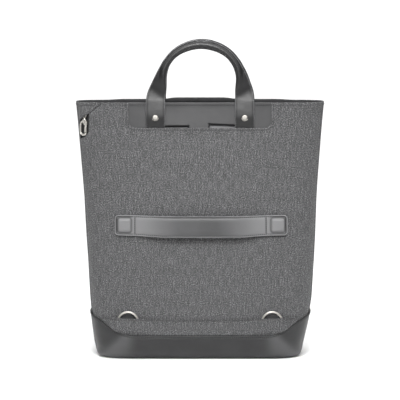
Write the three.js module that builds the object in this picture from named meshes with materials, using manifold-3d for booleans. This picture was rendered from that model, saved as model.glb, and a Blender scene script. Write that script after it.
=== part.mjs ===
// A convertible tote backpack, standing on its base and seen from its strap side.
// Cloth panels are sewn into an open-topped bag with a leather base, two leather handles, a leather
// strap for a suitcase handle, and a flat pocket that the two shoulder straps are stowed in.
// Millimetres. X runs to the right of the strap side, Y away from the wearer's back, Z up.
// The origin is on the floor, under the middle of the bag.
import * as THREE from "three";
import { mergeVertices } from "three/addons/utils/BufferGeometryUtils.js";
import Module from "manifold-3d";

const wasm = await Module();
wasm.setup();

// Body sizes
const bodyHeight = 407;
const rimHalfWidth = 198;
const baseHalfWidth = 160;
const rimHalfDepth = 24;
const baseHalfDepth = 66;
const faceCrown = 7;
const frontRimRise = 4;
const frontRimRiseHalfWidth = 36;

// Materials' thicknesses and the gap between pieces that lie on each other
const cloth = 1.8;
const backCloth = 2;
const leather = 1.7;
const liningCloth = 0.9;
const webbing = 0.7;
const gap = 0.3;

// Leather base
const baseSideHeight = 67;
const baseFaceHeight = 34.5;
const baseRiseStart = 112;
const baseEdgeRadius = 12;

// Cloth band above the leather base, which covers the lower half of the rings
const bandMiddleHeight = 61.3;
const bandEndHeight = 63.9;
const bandLiftReach = 34;

// Pocket for the shoulder straps, its window at the top and the slit at its upper corner
const pocketDepth = 6;
const pocketTaper = 45;
const windowHalfWidth = 113.5;
const windowDrop = 40;
const windowCornerRadius = 11;
const patchMargin = 7;
const slitRimInset = 44.4;
const slitInnerInset = 15.1;
const slitOuterInset = 4;
const slitOverlap = 2;
const slitTopDrop = 18;
const slitOuterDrop = 38.5;
const slitLowDrop = 47.5;
const slitEndDrop = 60;
const flapLift = 6.5;
const flapRimShare = 0.6;
const flapSeamShare = 0.62;

// Stowed shoulder straps
const strapInnerX = 16;
const strapWidth = 50;
const strapTopDrop = 35.6;
const strapLength = 262;
const strapSlot = 1.5;

// Handles
const handleHalfSpan = 71;
const handleRise = 92;
const handleStrapWidth = 31.5;
const handleStrapThickness = 3;
const gripDiameter = 12.4;
const handleLean = 1.7;
const frontHandleShift = 1.2;
const handleSeat = 1.1;
const rivetDrop = 24.8;
const rivetRadius = 5.3;
const rivetHeadHeight = 1.9;
const rivetShankRadius = 1.6;

// Strap that slips over a suitcase's handle
const luggageStrapHeight = 213.3;
const luggageStrapShift = 1.6;
const luggageStrapLength = 275;
const luggageStrapWidth = 32.5;
const luggageStrapThickness = 2.8;
const luggageStrapBow = 12;
const luggageStrapCornerRadius = 6;
const luggageStrapSewnEnd = 27;
const endPadSize = 20;
const endPadHeight = 1.2;

// D-rings for the lower ends of the shoulder straps
const ringX = 114;
const ringCentreHeight = 59;
const ringRadius = 15.7;
const ringWire = 3.2;
const ringLegLength = 4;
const ringCornerRadius = 3;
const ringLoopWidth = 22;
const ringLoopTop = 69;
const ringLoopTail = 44;

// Snap hook in the pocket's slit, and the webbing loop that it hangs on
const hookInset = 6.7;
const hookTopDrop = 24;
const hookLength = 30;
const hookWidth = 14.5;
const hookThickness = 4.2;
const hookBar = 3.2;
const hookGateWidth = 4.6;
const hookGateThickness = 1.8;
const hookPivotDrop = 9;
const hookPinRadius = 0.9;
const hookNoseHeight = 5;
const hookEyeWidth = 12;
const hookEyeHeight = 6.5;
const hookEyeWire = 1.6;
const hookLoopLength = 9;

// How far the cutting shapes reach past what they cut
const cutReach = 30;

// How finely the curved walls are divided
const faceColumns = 18;
const sideColumns = 4;
const wireSides = 6;
const ringSteps = 28;
const lathSteps = 12;
const arcSteps = 3;

// The body's cross-sections, from the base up. up is a share of the body's height, wide a share of the
// way from the base's half width to the rim's, deep of the way from the rim's half depth to the base's,
// crown of the faces' crown, and pocket of the strap pocket's depth.
const SECTIONS = [
  { up: 0.034, wide: 0.04, deep: 0.98, crown: 0, pocket: 0 },
  { up: 0.13, wide: 0.25, deep: 1, crown: 0.25, pocket: 0 },
  { up: 0.22, wide: 0.385, deep: 0.985, crown: 0.5, pocket: 0.8 },
  { up: 0.31, wide: 0.46, deep: 0.92, crown: 0.75, pocket: 1 },
  { up: 0.46, wide: 0.56, deep: 0.76, crown: 1, pocket: 1 },
  { up: 0.62, wide: 0.65, deep: 0.58, crown: 1, pocket: 1 },
  { up: 0.78, wide: 0.77, deep: 0.36, crown: 0.7, pocket: 1 },
  { up: 0.86, wide: 0.84, deep: 0.24, crown: 0.5, pocket: 0.6 },
  { up: 0.935, wide: 0.92, deep: 0.11, crown: 0.2, pocket: 0 },
  { up: 1, wide: 1, deep: 0, crown: 0, pocket: 0 },
];

// The handle's sections from the rim to the top of the grip. rise is a share of the handle's rise, span
// of its half span, width of the strap's width, and thickness of the grip's diameter. square is 1 where
// the section is a flat strap and 0 where it is a round grip.
const HANDLE = [
  { rise: 0.08, span: 0.988, width: 0.93, thickness: 0.28, square: 1 },
  { rise: 0.28, span: 0.948, width: 0.74, thickness: 0.55, square: 0.5 },
  { rise: 0.42, span: 0.907, width: 0.55, thickness: 0.85, square: 0.1 },
  { rise: 0.56, span: 0.842, width: 0.44, thickness: 0.94, square: 0 },
  { rise: 0.69, span: 0.748, width: 0.385, thickness: 0.94, square: 0 },
  { rise: 0.83, span: 0.604, width: 0.365, thickness: 0.93, square: 0 },
  { rise: 0.91, span: 0.456, width: 0.37, thickness: 0.95, square: 0 },
  { rise: 0.98, span: 0.225, width: 0.385, thickness: 1, square: 0 },
  { rise: 1, span: 0, width: 0.39, thickness: 1, square: 0 },
];

// Shape of the cross-section: how square its corners are, and the share of the depth where the side seams run
const sectionFlatness = 9;
const sectionRoundness = 0.72;
const seamShare = 0.42;

// Colours, roughness and metalness
const MATERIALS = {
  cloth: { color: 0x707070, roughness: 0.95, metalness: 0 },
  leather: { color: 0x4e4e50, roughness: 0.5, metalness: 0 },
  lining: { color: 0x303032, roughness: 0.9, metalness: 0 },
  webbing: { color: 0x3c3c3e, roughness: 0.85, metalness: 0 },
  nickel: { color: 0xc9c7c2, roughness: 0.25, metalness: 1 },
};

const lerp = (a, b, t) => a + (b - a) * t;
const smooth = (t) => {
  const s = Math.min(1, Math.max(0, t));
  return s * s * (3 - 2 * s);
};

// The unit cross-section at an angle: 0 is the middle of the right side, a quarter turn the strap side
function unitPoint(angle) {
  const c = Math.cos(angle);
  const s = Math.sin(angle);
  const x = Math.sign(c) * Math.abs(c) ** (2 / sectionFlatness);
  return { x, y: -Math.sign(s) * Math.abs(s) ** sectionRoundness };
}

// Angles between two angles, evenly spaced along a middling section of the body
function spacedAngles(from, to, count) {
  const fine = 600;
  const width = (rimHalfWidth + baseHalfWidth) / 2;
  const depth = (rimHalfDepth + baseHalfDepth) / 2;
  const lengths = [0];
  let last = unitPoint(from);
  for (let i = 1; i <= fine; i++) {
    const next = unitPoint(lerp(from, to, i / fine));
    lengths.push(lengths[i - 1] + Math.hypot((next.x - last.x) * width, (next.y - last.y) * depth));
    last = next;
  }
  const angles = [];
  let i = 0;
  for (let k = 0; k < count; k++) {
    const wanted = (lengths[fine] * k) / count;
    while (lengths[i + 1] < wanted) i++;
    const part = (wanted - lengths[i]) / (lengths[i + 1] - lengths[i]);
    angles.push(lerp(from, to, (i + part) / fine));
  }
  return angles;
}

const seamAngle = Math.asin(seamShare ** (1 / sectionRoundness));
const columnAngles = [
  ...spacedAngles(seamAngle, Math.PI - seamAngle, faceColumns),
  ...spacedAngles(Math.PI - seamAngle, Math.PI + seamAngle, sideColumns),
  ...spacedAngles(Math.PI + seamAngle, 2 * Math.PI - seamAngle, faceColumns),
  ...spacedAngles(2 * Math.PI - seamAngle, 2 * Math.PI + seamAngle, sideColumns),
];
const columns = columnAngles.length;
const backFace = { from: 0, to: faceColumns };
const leftSide = { from: backFace.to, to: backFace.to + sideColumns };
const frontFace = { from: leftSide.to, to: leftSide.to + faceColumns };
const rightSide = { from: frontFace.to, to: columns };

// The rim is a little higher in the middle of the front, where the handle holds it up
function rimRise(x, y) {
  return y > 0 ? frontRimRise * smooth(1.6 - Math.abs(x) / frontRimRiseHalfWidth) : 0;
}

// One loop of points round the body, each with its outward direction
function bodyRow(section) {
  const halfWidth = lerp(baseHalfWidth, rimHalfWidth, section.wide);
  const halfDepth = lerp(rimHalfDepth, baseHalfDepth, section.deep);
  const points = columnAngles.map((angle) => {
    const unit = unitPoint(angle);
    const bulge = faceCrown * section.crown * (1 - unit.x * unit.x) ** 2;
    return { x: unit.x * halfWidth, y: unit.y * halfDepth + Math.sign(unit.y) * bulge };
  });
  points.forEach((point, i) => {
    const before = points[(i + columns - 1) % columns];
    const after = points[(i + 1) % columns];
    const length = Math.hypot(after.x - before.x, after.y - before.y);
    point.nx = -(after.y - before.y) / length;
    point.ny = (after.x - before.x) / length;
    const isRim = section.up === 1;
    point.z = bodyHeight * section.up + (isRim ? rimRise(point.x, point.y) : 0);
  });
  return { section, points };
}
const rows = SECTIONS.map(bodyRow);

// A body point moved outwards by a distance, and upwards to a height if one is given
function moved(point, out, z = point.z) {
  return [point.x + point.nx * out, point.y + point.ny * out, z];
}

// Distance along the wall from a strap-side column to the nearer side seam, as a share of the taper
const seamDistance = columnAngles.map((_, i) => {
  const middle = rows[Math.floor(rows.length / 2)].points;
  let along = 0;
  const seam = i <= faceColumns / 2 ? backFace.from : backFace.to;
  const step = seam < i ? -1 : 1;
  for (let k = i; k !== seam && i <= faceColumns; k += step) {
    along += Math.hypot(middle[k].x - middle[k + step].x, middle[k].y - middle[k + step].y);
  }
  return smooth(along / pocketTaper);
});

// Turns lists of corners into a closed geometry
function closedGeometry(points, triangles) {
  const geometry = new THREE.BufferGeometry();
  geometry.setAttribute("position", new THREE.Float32BufferAttribute(points.flat(), 3));
  geometry.setIndex(triangles);
  return geometry;
}

// A wall between an outer and an inner grid of points, open at its edges or closed round the body
function wallGeometry(outer, inner, isLoop) {
  const points = [...outer.flat(), ...inner.flat()];
  const across = outer[0].length;
  const up = outer.length;
  const half = across * up;
  const triangles = [];
  const quad = (a, b, c, d) => triangles.push(a, b, c, a, c, d);
  const at = (r, c) => r * across + (c % across);
  const last = isLoop ? across : across - 1;
  for (let r = 0; r < up - 1; r++) {
    for (let c = 0; c < last; c++) {
      quad(at(r, c), at(r + 1, c), at(r + 1, c + 1), at(r, c + 1));
      quad(half + at(r, c), half + at(r, c + 1), half + at(r + 1, c + 1), half + at(r + 1, c));
    }
  }
  for (let c = 0; c < last; c++) {
    const top = up - 1;
    quad(at(top, c), half + at(top, c), half + at(top, c + 1), at(top, c + 1));
    quad(at(0, c), at(0, c + 1), half + at(0, c + 1), half + at(0, c));
  }
  if (!isLoop) {
    for (let r = 0; r < up - 1; r++) {
      quad(at(r, 0), half + at(r, 0), half + at(r + 1, 0), at(r + 1, 0));
      quad(at(r, last), at(r + 1, last), half + at(r + 1, last), half + at(r, last));
    }
  }
  return closedGeometry(points, triangles);
}

// A tray: loops of points from the bottom up, outside and inside, with a floor across the lowest loops
function trayGeometry(outer, inner) {
  const points = [...outer.flat(), ...inner.flat()];
  const across = outer[0].length;
  const half = across * outer.length;
  const triangles = [];
  const quad = (a, b, c, d) => triangles.push(a, b, c, a, c, d);
  const at = (r, c) => r * across + (c % across);
  const inAt = (r, c) => half + at(r, c);
  for (let c = 0; c < across; c++) {
    for (let r = 0; r < outer.length - 1; r++) quad(at(r, c), at(r + 1, c), at(r + 1, c + 1), at(r, c + 1));
    for (let r = 0; r < inner.length - 1; r++) {
      quad(inAt(r, c), inAt(r, c + 1), inAt(r + 1, c + 1), inAt(r + 1, c));
    }
    const top = outer.length - 1;
    const inTop = inner.length - 1;
    quad(at(top, c), inAt(inTop, c), inAt(inTop, c + 1), at(top, c + 1));
  }
  const far = across / 2;
  triangles.push(0, 1, across - 1, inAt(0, 0), inAt(0, across - 1), inAt(0, 1));
  triangles.push(far, far + 1, far - 1, inAt(0, far), inAt(0, far - 1), inAt(0, far + 1));
  for (let c = 2; c < far; c++) {
    const low = [across - c, across - c + 1, c - 1, c];
    quad(low[0], low[1], low[2], low[3]);
    quad(inAt(0, low[3]), inAt(0, low[2]), inAt(0, low[1]), inAt(0, low[0]));
  }
  return closedGeometry(points, triangles);
}

// A sheet that follows one face or side of the body. out and into give its outer and inner surface, as
// distances outwards from the body's surface at a row and column. Its ends stop short of the seams.
function bodySheet(face, out, into) {
  const grid = (distance) =>
    rows.map((row) => {
      const line = [];
      for (let c = face.from; c <= face.to; c++) {
        const point = row.points[c % columns];
        const corner = moved(point, distance(row.section, c));
        if (c === face.from || c === face.to) {
          const inwards = row.points[c === face.from ? c + 1 : c - 1];
          const length = Math.hypot(inwards.x - point.x, inwards.y - point.y);
          corner[0] += ((inwards.x - point.x) / length) * (gap / 2);
          corner[1] += ((inwards.y - point.y) / length) * (gap / 2);
        }
        line.push(corner);
      }
      return line;
    });
  return wallGeometry(grid(out), grid(into), false);
}

// A geometry as a solid that can be joined and cut, and back again
function toSolid(geometry) {
  const bare = new THREE.BufferGeometry();
  bare.setAttribute("position", geometry.getAttribute("position"));
  if (geometry.index) bare.setIndex(geometry.index);
  const merged = mergeVertices(bare, 1e-4);
  return new wasm.Manifold(
    new wasm.Mesh({
      numProp: 3,
      vertProperties: new Float32Array(merged.attributes.position.array),
      triVerts: new Uint32Array(merged.index.array),
    }),
  );
}
function toGeometry(solid) {
  const mesh = solid.getMesh();
  const geometry = new THREE.BufferGeometry();
  geometry.setAttribute("position", new THREE.BufferAttribute(mesh.vertProperties, 3));
  geometry.setIndex(new THREE.BufferAttribute(mesh.triVerts, 1));
  return geometry;
}

// An outline in X and Z, as deep as the strap side or, turned round, the front
const prismDepth = baseHalfDepth + faceCrown + cutReach;
function facePrism(shape, isFront = false) {
  const prism = new THREE.ExtrudeGeometry(shape, {
    depth: prismDepth,
    bevelEnabled: false,
    curveSegments: arcSteps,
  });
  prism.rotateX(Math.PI / 2);
  return toSolid(isFront ? prism.translate(0, prismDepth, 0) : prism);
}

function roundedOutline(left, right, low, high, radius) {
  const shape = new THREE.Shape();
  shape.moveTo(left + radius, low);
  shape.lineTo(right - radius, low);
  shape.absarc(right - radius, low + radius, radius, -Math.PI / 2, 0);
  shape.lineTo(right, high - radius);
  shape.absarc(right - radius, high - radius, radius, 0, Math.PI / 2);
  shape.lineTo(left + radius, high);
  shape.absarc(left + radius, high - radius, radius, Math.PI / 2, Math.PI);
  shape.lineTo(left, low + radius);
  shape.absarc(left + radius, low + radius, radius, Math.PI, 1.5 * Math.PI);
  return shape;
}

// The point of the strap side or the front at a width and height, moved outwards
function facePoint(x, z, out, isFront = false) {
  const up = Math.min(z / bodyHeight, 1);
  let r = 1;
  while (r < rows.length - 1 && rows[r].section.up < up) r++;
  const [low, high] = [rows[r - 1], rows[r]];
  const t = (up - low.section.up) / (high.section.up - low.section.up);
  const on = (row) => {
    let c = 0;
    while (c < faceColumns - 1 && row.points[c + 1].x > x) c++;
    const [a, b] = [row.points[c], row.points[c + 1]];
    const s = (x - a.x) / (b.x - a.x);
    return { y: lerp(a.y, b.y, s), nx: lerp(a.nx, b.nx, s), ny: lerp(a.ny, b.ny, s) };
  };
  const [p, q] = [on(low), on(high)];
  const nx = lerp(p.nx, q.nx, t);
  const ny = lerp(p.ny, q.ny, t);
  const side = isFront ? -1 : 1;
  return new THREE.Vector3(x + nx * out, side * (lerp(p.y, q.y, t) + ny * out), z);
}

// How far out the side seams are at a height
function seamReach(z) {
  const up = z / bodyHeight;
  const r = rows.findIndex((row) => row.section.up >= up);
  const [low, high] = [rows[r - 1], rows[r]];
  const t = (up - low.section.up) / (high.section.up - low.section.up);
  return lerp(low.points[backFace.from].x, high.points[backFace.from].x, t);
}

// The frame of a face at a point: across to the right, up along the wall, and straight out of it
function faceFrame(x, z, out, isFront = false) {
  const reach = 4;
  const origin = facePoint(x, z, out, isFront);
  const up = facePoint(x, z + reach, out, isFront).sub(facePoint(x, z - reach, out, isFront)).normalize();
  const across = facePoint(x + reach, z, out, isFront)
    .sub(facePoint(x - reach, z, out, isFront))
    .normalize();
  const outwards = new THREE.Vector3().crossVectors(across, up).multiplyScalar(isFront ? -1 : 1).normalize();
  const right = new THREE.Vector3().crossVectors(up, outwards).normalize();
  return new THREE.Matrix4().makeBasis(right, up, outwards).setPosition(origin);
}

function solidMesh(name, geometry, material) {
  const shown = geometry.index ? geometry.toNonIndexed() : geometry;
  shown.computeVertexNormals();
  const mesh = new THREE.Mesh(shown, new THREE.MeshStandardMaterial({ ...MATERIALS[material], flatShading: true }));
  mesh.name = name;
  return mesh;
}

// How far the pocket's back wall lies behind the strap side's surface
const patchRoom = leather + gap;
const backWallDepth = (section, c) =>
  cloth + gap + seamDistance[c] * (patchRoom + pocketDepth * section.pocket);
const isBackFace = (c) => c >= backFace.from && c <= backFace.to;

// Rivets: where each one goes, the hole for it, and the rivet itself
const rivetHeight = bodyHeight - rivetDrop;
const backRivets = [-1, 1].map((side) => faceFrame(side * handleHalfSpan, rivetHeight, 0));
const frontRivets = [-1, 1].map((side) => faceFrame(side * handleHalfSpan + frontHandleShift, rivetHeight, 0, true));
const backLegSurface = -cloth - gap + handleSeat + handleStrapThickness;
const frontLegSurface = handleSeat + handleStrapThickness;

function rivetHole(frame) {
  const radius = rivetShankRadius + gap;
  const hole = new THREE.CylinderGeometry(radius, radius, cutReach, lathSteps);
  return toSolid(hole.rotateX(Math.PI / 2).applyMatrix4(frame));
}

function rivet(name, frame, surface, inner) {
  const profile = [
    [0, inner],
    [rivetShankRadius, inner],
    [rivetShankRadius, surface + gap],
    [rivetRadius, surface + gap],
    [rivetRadius, surface + gap + rivetHeadHeight * 0.45],
    [rivetRadius * 0.72, surface + gap + rivetHeadHeight * 0.86],
    [0, surface + gap + rivetHeadHeight],
  ].map(([r, z]) => new THREE.Vector2(r, z));
  const mesh = solidMesh(name, new THREE.LatheGeometry(profile, lathSteps).rotateX(Math.PI / 2), "nickel");
  mesh.applyMatrix4(frame);
  return mesh;
}

// Cloth panels of the bag
function frontPanel() {
  const panel = bodySheet(frontFace, () => 0, () => -backCloth);
  const holes = frontRivets.map(rivetHole);
  return solidMesh("front_panel", toGeometry(toSolid(panel).subtract(holes[0]).subtract(holes[1])), "cloth");
}

function sidePanel(name, face) {
  return solidMesh(name, bodySheet(face, () => 0, () => -backCloth), "cloth");
}

function backPanel() {
  const panel = bodySheet(
    backFace,
    (section, c) => -backWallDepth(section, c),
    (section, c) => -backWallDepth(section, c) - backCloth,
  );
  const holes = backRivets.map(rivetHole);
  return solidMesh("back_panel", toGeometry(toSolid(panel).subtract(holes[0]).subtract(holes[1])), "cloth");
}

// The window in the pocket's front, which the leather patch and the handle show through
const windowLow = bodyHeight - windowDrop;
function windowOutline(grow) {
  return roundedOutline(
    -windowHalfWidth - grow,
    windowHalfWidth + grow,
    windowLow - grow,
    bodyHeight + windowDrop,
    windowCornerRadius,
  );
}

// The slit at the pocket's upper left corner, and the flap above it
const beyond = rimHalfWidth + cutReach;
const slitPoints = {
  rim: [slitRimInset - rimHalfWidth, bodyHeight],
  top: [slitInnerInset - seamReach(bodyHeight - slitOuterDrop), bodyHeight - slitTopDrop],
  outer: [slitOuterInset - rimHalfWidth, bodyHeight - slitOuterDrop],
};
function flapOutline(inset) {
  const shape = new THREE.Shape();
  const { rim, top, outer } = slitPoints;
  const slope = (rim[1] - top[1]) / (rim[0] - top[0]);
  shape.moveTo(-beyond, outer[1] - slope * (beyond + outer[0]) + inset);
  shape.lineTo(outer[0], outer[1] + inset);
  shape.lineTo(top[0], top[1] + inset);
  shape.lineTo(rim[0] + slope * windowDrop, rim[1] + slope * windowDrop + inset);
  shape.lineTo(-beyond, rim[1] + windowDrop);
  return shape;
}
function slitOutline() {
  const shape = new THREE.Shape();
  const { top, outer } = slitPoints;
  const end = bodyHeight - slitEndDrop;
  shape.moveTo(top[0], top[1] + slitOverlap);
  shape.lineTo(outer[0], outer[1] + slitOverlap);
  shape.lineTo(-beyond, outer[1]);
  shape.lineTo(-beyond, end);
  shape.lineTo(outer[0] + slitOverlap, end);
  shape.quadraticCurveTo(top[0], end + 2 * slitOverlap, top[0], bodyHeight - slitLowDrop);
  return shape;
}

function pocketPanel() {
  const panel = toSolid(bodySheet(backFace, () => 0, () => -cloth))
    .subtract(facePrism(windowOutline(0)))
    .subtract(facePrism(flapOutline(-gap)))
    .subtract(facePrism(slitOutline()));
  return solidMesh("strap_pocket_panel", toGeometry(panel), "cloth");
}

function cornerFlap() {
  const lift = (section, c) => {
    const fromSeam = backFace.to - c;
    const across = fromSeam === 0 ? flapSeamShare : smooth(1.6 - fromSeam / 2.2);
    return flapLift * across * (section.up === 1 ? flapRimShare : 1);
  };
  const sheet = bodySheet(backFace, lift, (section, c) => lift(section, c) - cloth);
  return solidMesh("corner_flap", toGeometry(toSolid(sheet).intersect(facePrism(flapOutline(gap)))), "cloth");
}

// Leather patch under the handle, cut short where the shoulder straps come out from behind it
const strapTop = bodyHeight - strapTopDrop;
function strapOutline(side, low, high, radius, grow) {
  const edges = [side * strapInnerX, side * (strapInnerX + strapWidth)].sort((a, b) => a - b);
  return roundedOutline(edges[0] - grow, edges[1] + grow, low, high, radius);
}
function handlePatch() {
  let patch = toSolid(bodySheet(backFace, () => -cloth - gap, () => -cloth - gap - leather));
  patch = patch.intersect(facePrism(windowOutline(patchMargin)));
  for (const side of [-1, 1]) {
    patch = patch.subtract(facePrism(strapOutline(side, windowLow - windowDrop, strapTop + strapSlot, 1, 1)));
  }
  for (const frame of backRivets) patch = patch.subtract(rivetHole(frame));
  return solidMesh("handle_patch", toGeometry(patch), "leather");
}

// A padded shoulder strap, stowed flat in the pocket
function shoulderStrap(name, side) {
  const sheet = bodySheet(
    backFace,
    () => -cloth - gap,
    (section, c) => -backWallDepth(section, c) + gap,
  );
  const outline = strapOutline(side, strapTop - strapLength, strapTop, 1.5, 0);
  return solidMesh(name, toGeometry(toSolid(sheet).intersect(facePrism(outline))), "leather");
}

// Leather base: a tray with rounded lower edges, higher at the sides than along the faces
function leatherBase() {
  const lowest = rows[0].points;
  const turn = (radius, out, lift) =>
    [...Array(arcSteps).keys()].map((i) => {
      const angle = (i / arcSteps) * (Math.PI / 2);
      const distance = out - radius * (1 - Math.sin(angle));
      const z = lift + radius * (1 - Math.cos(angle));
      return lowest.map((point) => moved(point, distance, z));
    });
  const wall = (out) => rows.slice(0, 3).map((row) => row.points.map((point) => moved(point, out)));
  const outer = [...turn(baseEdgeRadius, gap + leather, 0), ...wall(gap + leather)];
  const inner = [...turn(baseEdgeRadius - leather, gap, leather), ...wall(gap)];
  let tray = toSolid(trayGeometry(outer, inner));
  tray = tray.subtract(facePrism(aboveBase(0))).subtract(facePrism(aboveBase(0), true));
  return solidMesh("leather_base", toGeometry(tray), "leather");
}

// All that lies above the leather base's edge, raised by a distance: high at the sides, low along the face
const baseSideWidth = lerp(baseHalfWidth, rimHalfWidth, SECTIONS[1].wide) + gap + leather;
function aboveBase(raise) {
  const third = (baseSideWidth - baseRiseStart) / 3;
  const [high, low] = [baseSideHeight + raise, baseFaceHeight + raise];
  const shape = new THREE.Shape();
  shape.moveTo(-beyond, high);
  shape.lineTo(-baseSideWidth, high);
  shape.bezierCurveTo(-baseSideWidth + third, high, -baseRiseStart - third, low, -baseRiseStart, low);
  shape.lineTo(baseRiseStart, low);
  shape.bezierCurveTo(baseRiseStart + third, low, baseSideWidth - third, high, baseSideWidth, high);
  shape.lineTo(beyond, high);
  shape.lineTo(beyond, bodyHeight + windowDrop);
  shape.lineTo(-beyond, bodyHeight + windowDrop);
  return shape;
}

// Cloth band between the leather base and the pocket, lifted over the rings
const ringOut = gap + webbing + gap + ringWire / 2;
const bandLift = ringOut + ringWire / 2 + 3 * gap + webbing;
const bandGap = 3 * gap;
function lowerBand() {
  const fineRows = [0.07, 0.1, SECTIONS[1].up, 0.155, 0.19];
  const fineColumns = faceColumns * 2;
  const grid = (inner) =>
    fineRows.map((up) => {
      const line = [];
      for (let c = 0; c <= fineColumns; c++) {
        const column = rows[1].points;
        const x = lerp(column[Math.floor(c / 2)].x, column[Math.ceil(c / 2)].x, 0.5);
        const nearRing = smooth(2.2 - Math.abs(Math.abs(x) - ringX) / (bandLiftReach / 2));
        const nearTop = smooth((up * bodyHeight - baseFaceHeight) / (ringLoopTail - baseFaceHeight));
        const out = bandGap + bandLift * nearRing * nearTop + (inner ? 0 : cloth);
        const point = facePoint(x, up * bodyHeight, out);
        line.push([point.x, point.y, point.z]);
      }
      return line;
    });
  const outline = new THREE.Shape();
  outline.moveTo(-baseSideWidth, 0);
  outline.lineTo(baseSideWidth, 0);
  outline.lineTo(baseSideWidth, bandEndHeight);
  outline.quadraticCurveTo(0, 2 * bandMiddleHeight - bandEndHeight, -baseSideWidth, bandEndHeight);
  const band = toSolid(wallGeometry(grid(false), grid(true), false))
    .intersect(facePrism(outline))
    .intersect(facePrism(aboveBase(gap)));
  return solidMesh("lower_band", toGeometry(largestOf(band)), "cloth");
}

function largestOf(solid) {
  return solid.decompose().sort((a, b) => b.volume() - a.volume())[0];
}

// Lining: a thin cloth tray inside the panels
function lining() {
  const liningRows = rows.map((row) =>
    row.points.map((point, c) => ({
      point,
      depth: (isBackFace(c) ? backWallDepth(row.section, c) : 0) + backCloth + gap,
    })),
  );
  const coarse = (line) => line.filter((_, c) => c % 2 === 0);
  const wall = (extra) =>
    liningRows.map((line) => coarse(line).map(({ point, depth }) => moved(point, -depth - extra)));
  const floor = (extra, inset, z) =>
    coarse(liningRows[0]).map(({ point, depth }) => moved(point, -depth - extra - inset, z));
  const low = leather + gap;
  const outer = [floor(0, baseEdgeRadius, low), floor(0, 1.5, low + baseEdgeRadius / 2), ...wall(0)];
  const inner = [
    floor(liningCloth, baseEdgeRadius, low + liningCloth),
    floor(liningCloth, 1.5, low + liningCloth + baseEdgeRadius / 2),
    ...wall(liningCloth),
  ];
  return solidMesh("lining", trayGeometry(outer, inner), "lining");
}

// A band swept along a line of stations, each with its centre, across and through directions and sizes
function sweptBand(stations) {
  const round = [];
  const corners = 10;
  const points = stations.flatMap((station) => {
    round.length = 0;
    const power = lerp(1, 0.35, station.square);
    for (let k = 0; k < corners; k++) {
      const angle = ((k + 0.5) / corners) * 2 * Math.PI;
      const a = Math.sign(Math.cos(angle)) * Math.abs(Math.cos(angle)) ** power;
      const b = Math.sign(Math.sin(angle)) * Math.abs(Math.sin(angle)) ** power;
      const point = station.centre
        .clone()
        .addScaledVector(station.across, (a * station.width) / 2)
        .addScaledVector(station.through, (b * station.thickness) / 2);
      round.push([point.x, point.y, point.z]);
    }
    return [...round];
  });
  const triangles = [];
  const last = stations.length - 1;
  for (let s = 0; s < last; s++) {
    for (let k = 0; k < corners; k++) {
      const [a, b] = [s * corners + k, s * corners + ((k + 1) % corners)];
      triangles.push(a, b, b + corners, a, b + corners, a + corners);
    }
  }
  for (let k = 1; k < corners - 1; k++) {
    triangles.push(0, k + 1, k);
    triangles.push(last * corners, last * corners + k, last * corners + k + 1);
  }
  return closedGeometry(points, triangles);
}

// A handle: flat ends on the wall, which fold into a round grip above the rim
function handle(name, isFront, shift, legOut, frames) {
  const legMiddle = legOut - handleStrapThickness / 2;
  const leg = (side, z) => facePoint(side * handleHalfSpan + shift, z, legMiddle, isFront);
  const gripSide = isFront ? 1 : -1;
  const apexY = gripSide * (gripDiameter / 2 + handleSeat);
  const rim = leg(-1, bodyHeight);
  const half = (side) => {
    const low = windowLow + gap + handleSeat;
    const firstRise = handleRise * HANDLE[0].rise;
    const heights = [low, SECTIONS.at(-2).up * bodyHeight, bodyHeight - firstRise, bodyHeight];
    const legs = heights.map((z) => ({
      centre: leg(side, z),
      width: handleStrapWidth,
      thickness: handleStrapThickness,
      square: 1,
    }));
    const grip = HANDLE.map((row) => ({
      centre: new THREE.Vector3(
        side * handleHalfSpan * row.span + shift + handleLean * smooth(row.rise * 2),
        lerp(rim.y, apexY, row.rise),
        bodyHeight + handleRise * row.rise,
      ),
      width: handleStrapWidth * row.width,
      thickness: gripDiameter * row.thickness,
      square: row.square,
    }));
    return [...legs, ...grip];
  };
  const left = half(-1);
  const stations = [...left, ...half(1).reverse().slice(1)];
  const through = new THREE.Vector3(0, -handleRise, rim.y - apexY).multiplyScalar(-gripSide).normalize();
  stations.forEach((station, i) => {
    const before = stations[Math.max(0, i - 1)].centre;
    const after = stations[Math.min(stations.length - 1, i + 1)].centre;
    const along = after.clone().sub(before).normalize();
    station.across = new THREE.Vector3().crossVectors(through, along).normalize();
    station.through = new THREE.Vector3().crossVectors(along, station.across).normalize();
  });
  let solid = toSolid(sweptBand(stations));
  for (const frame of frames) solid = solid.subtract(rivetHole(frame));
  return solidMesh(name, toGeometry(solid), "leather");
}

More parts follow.
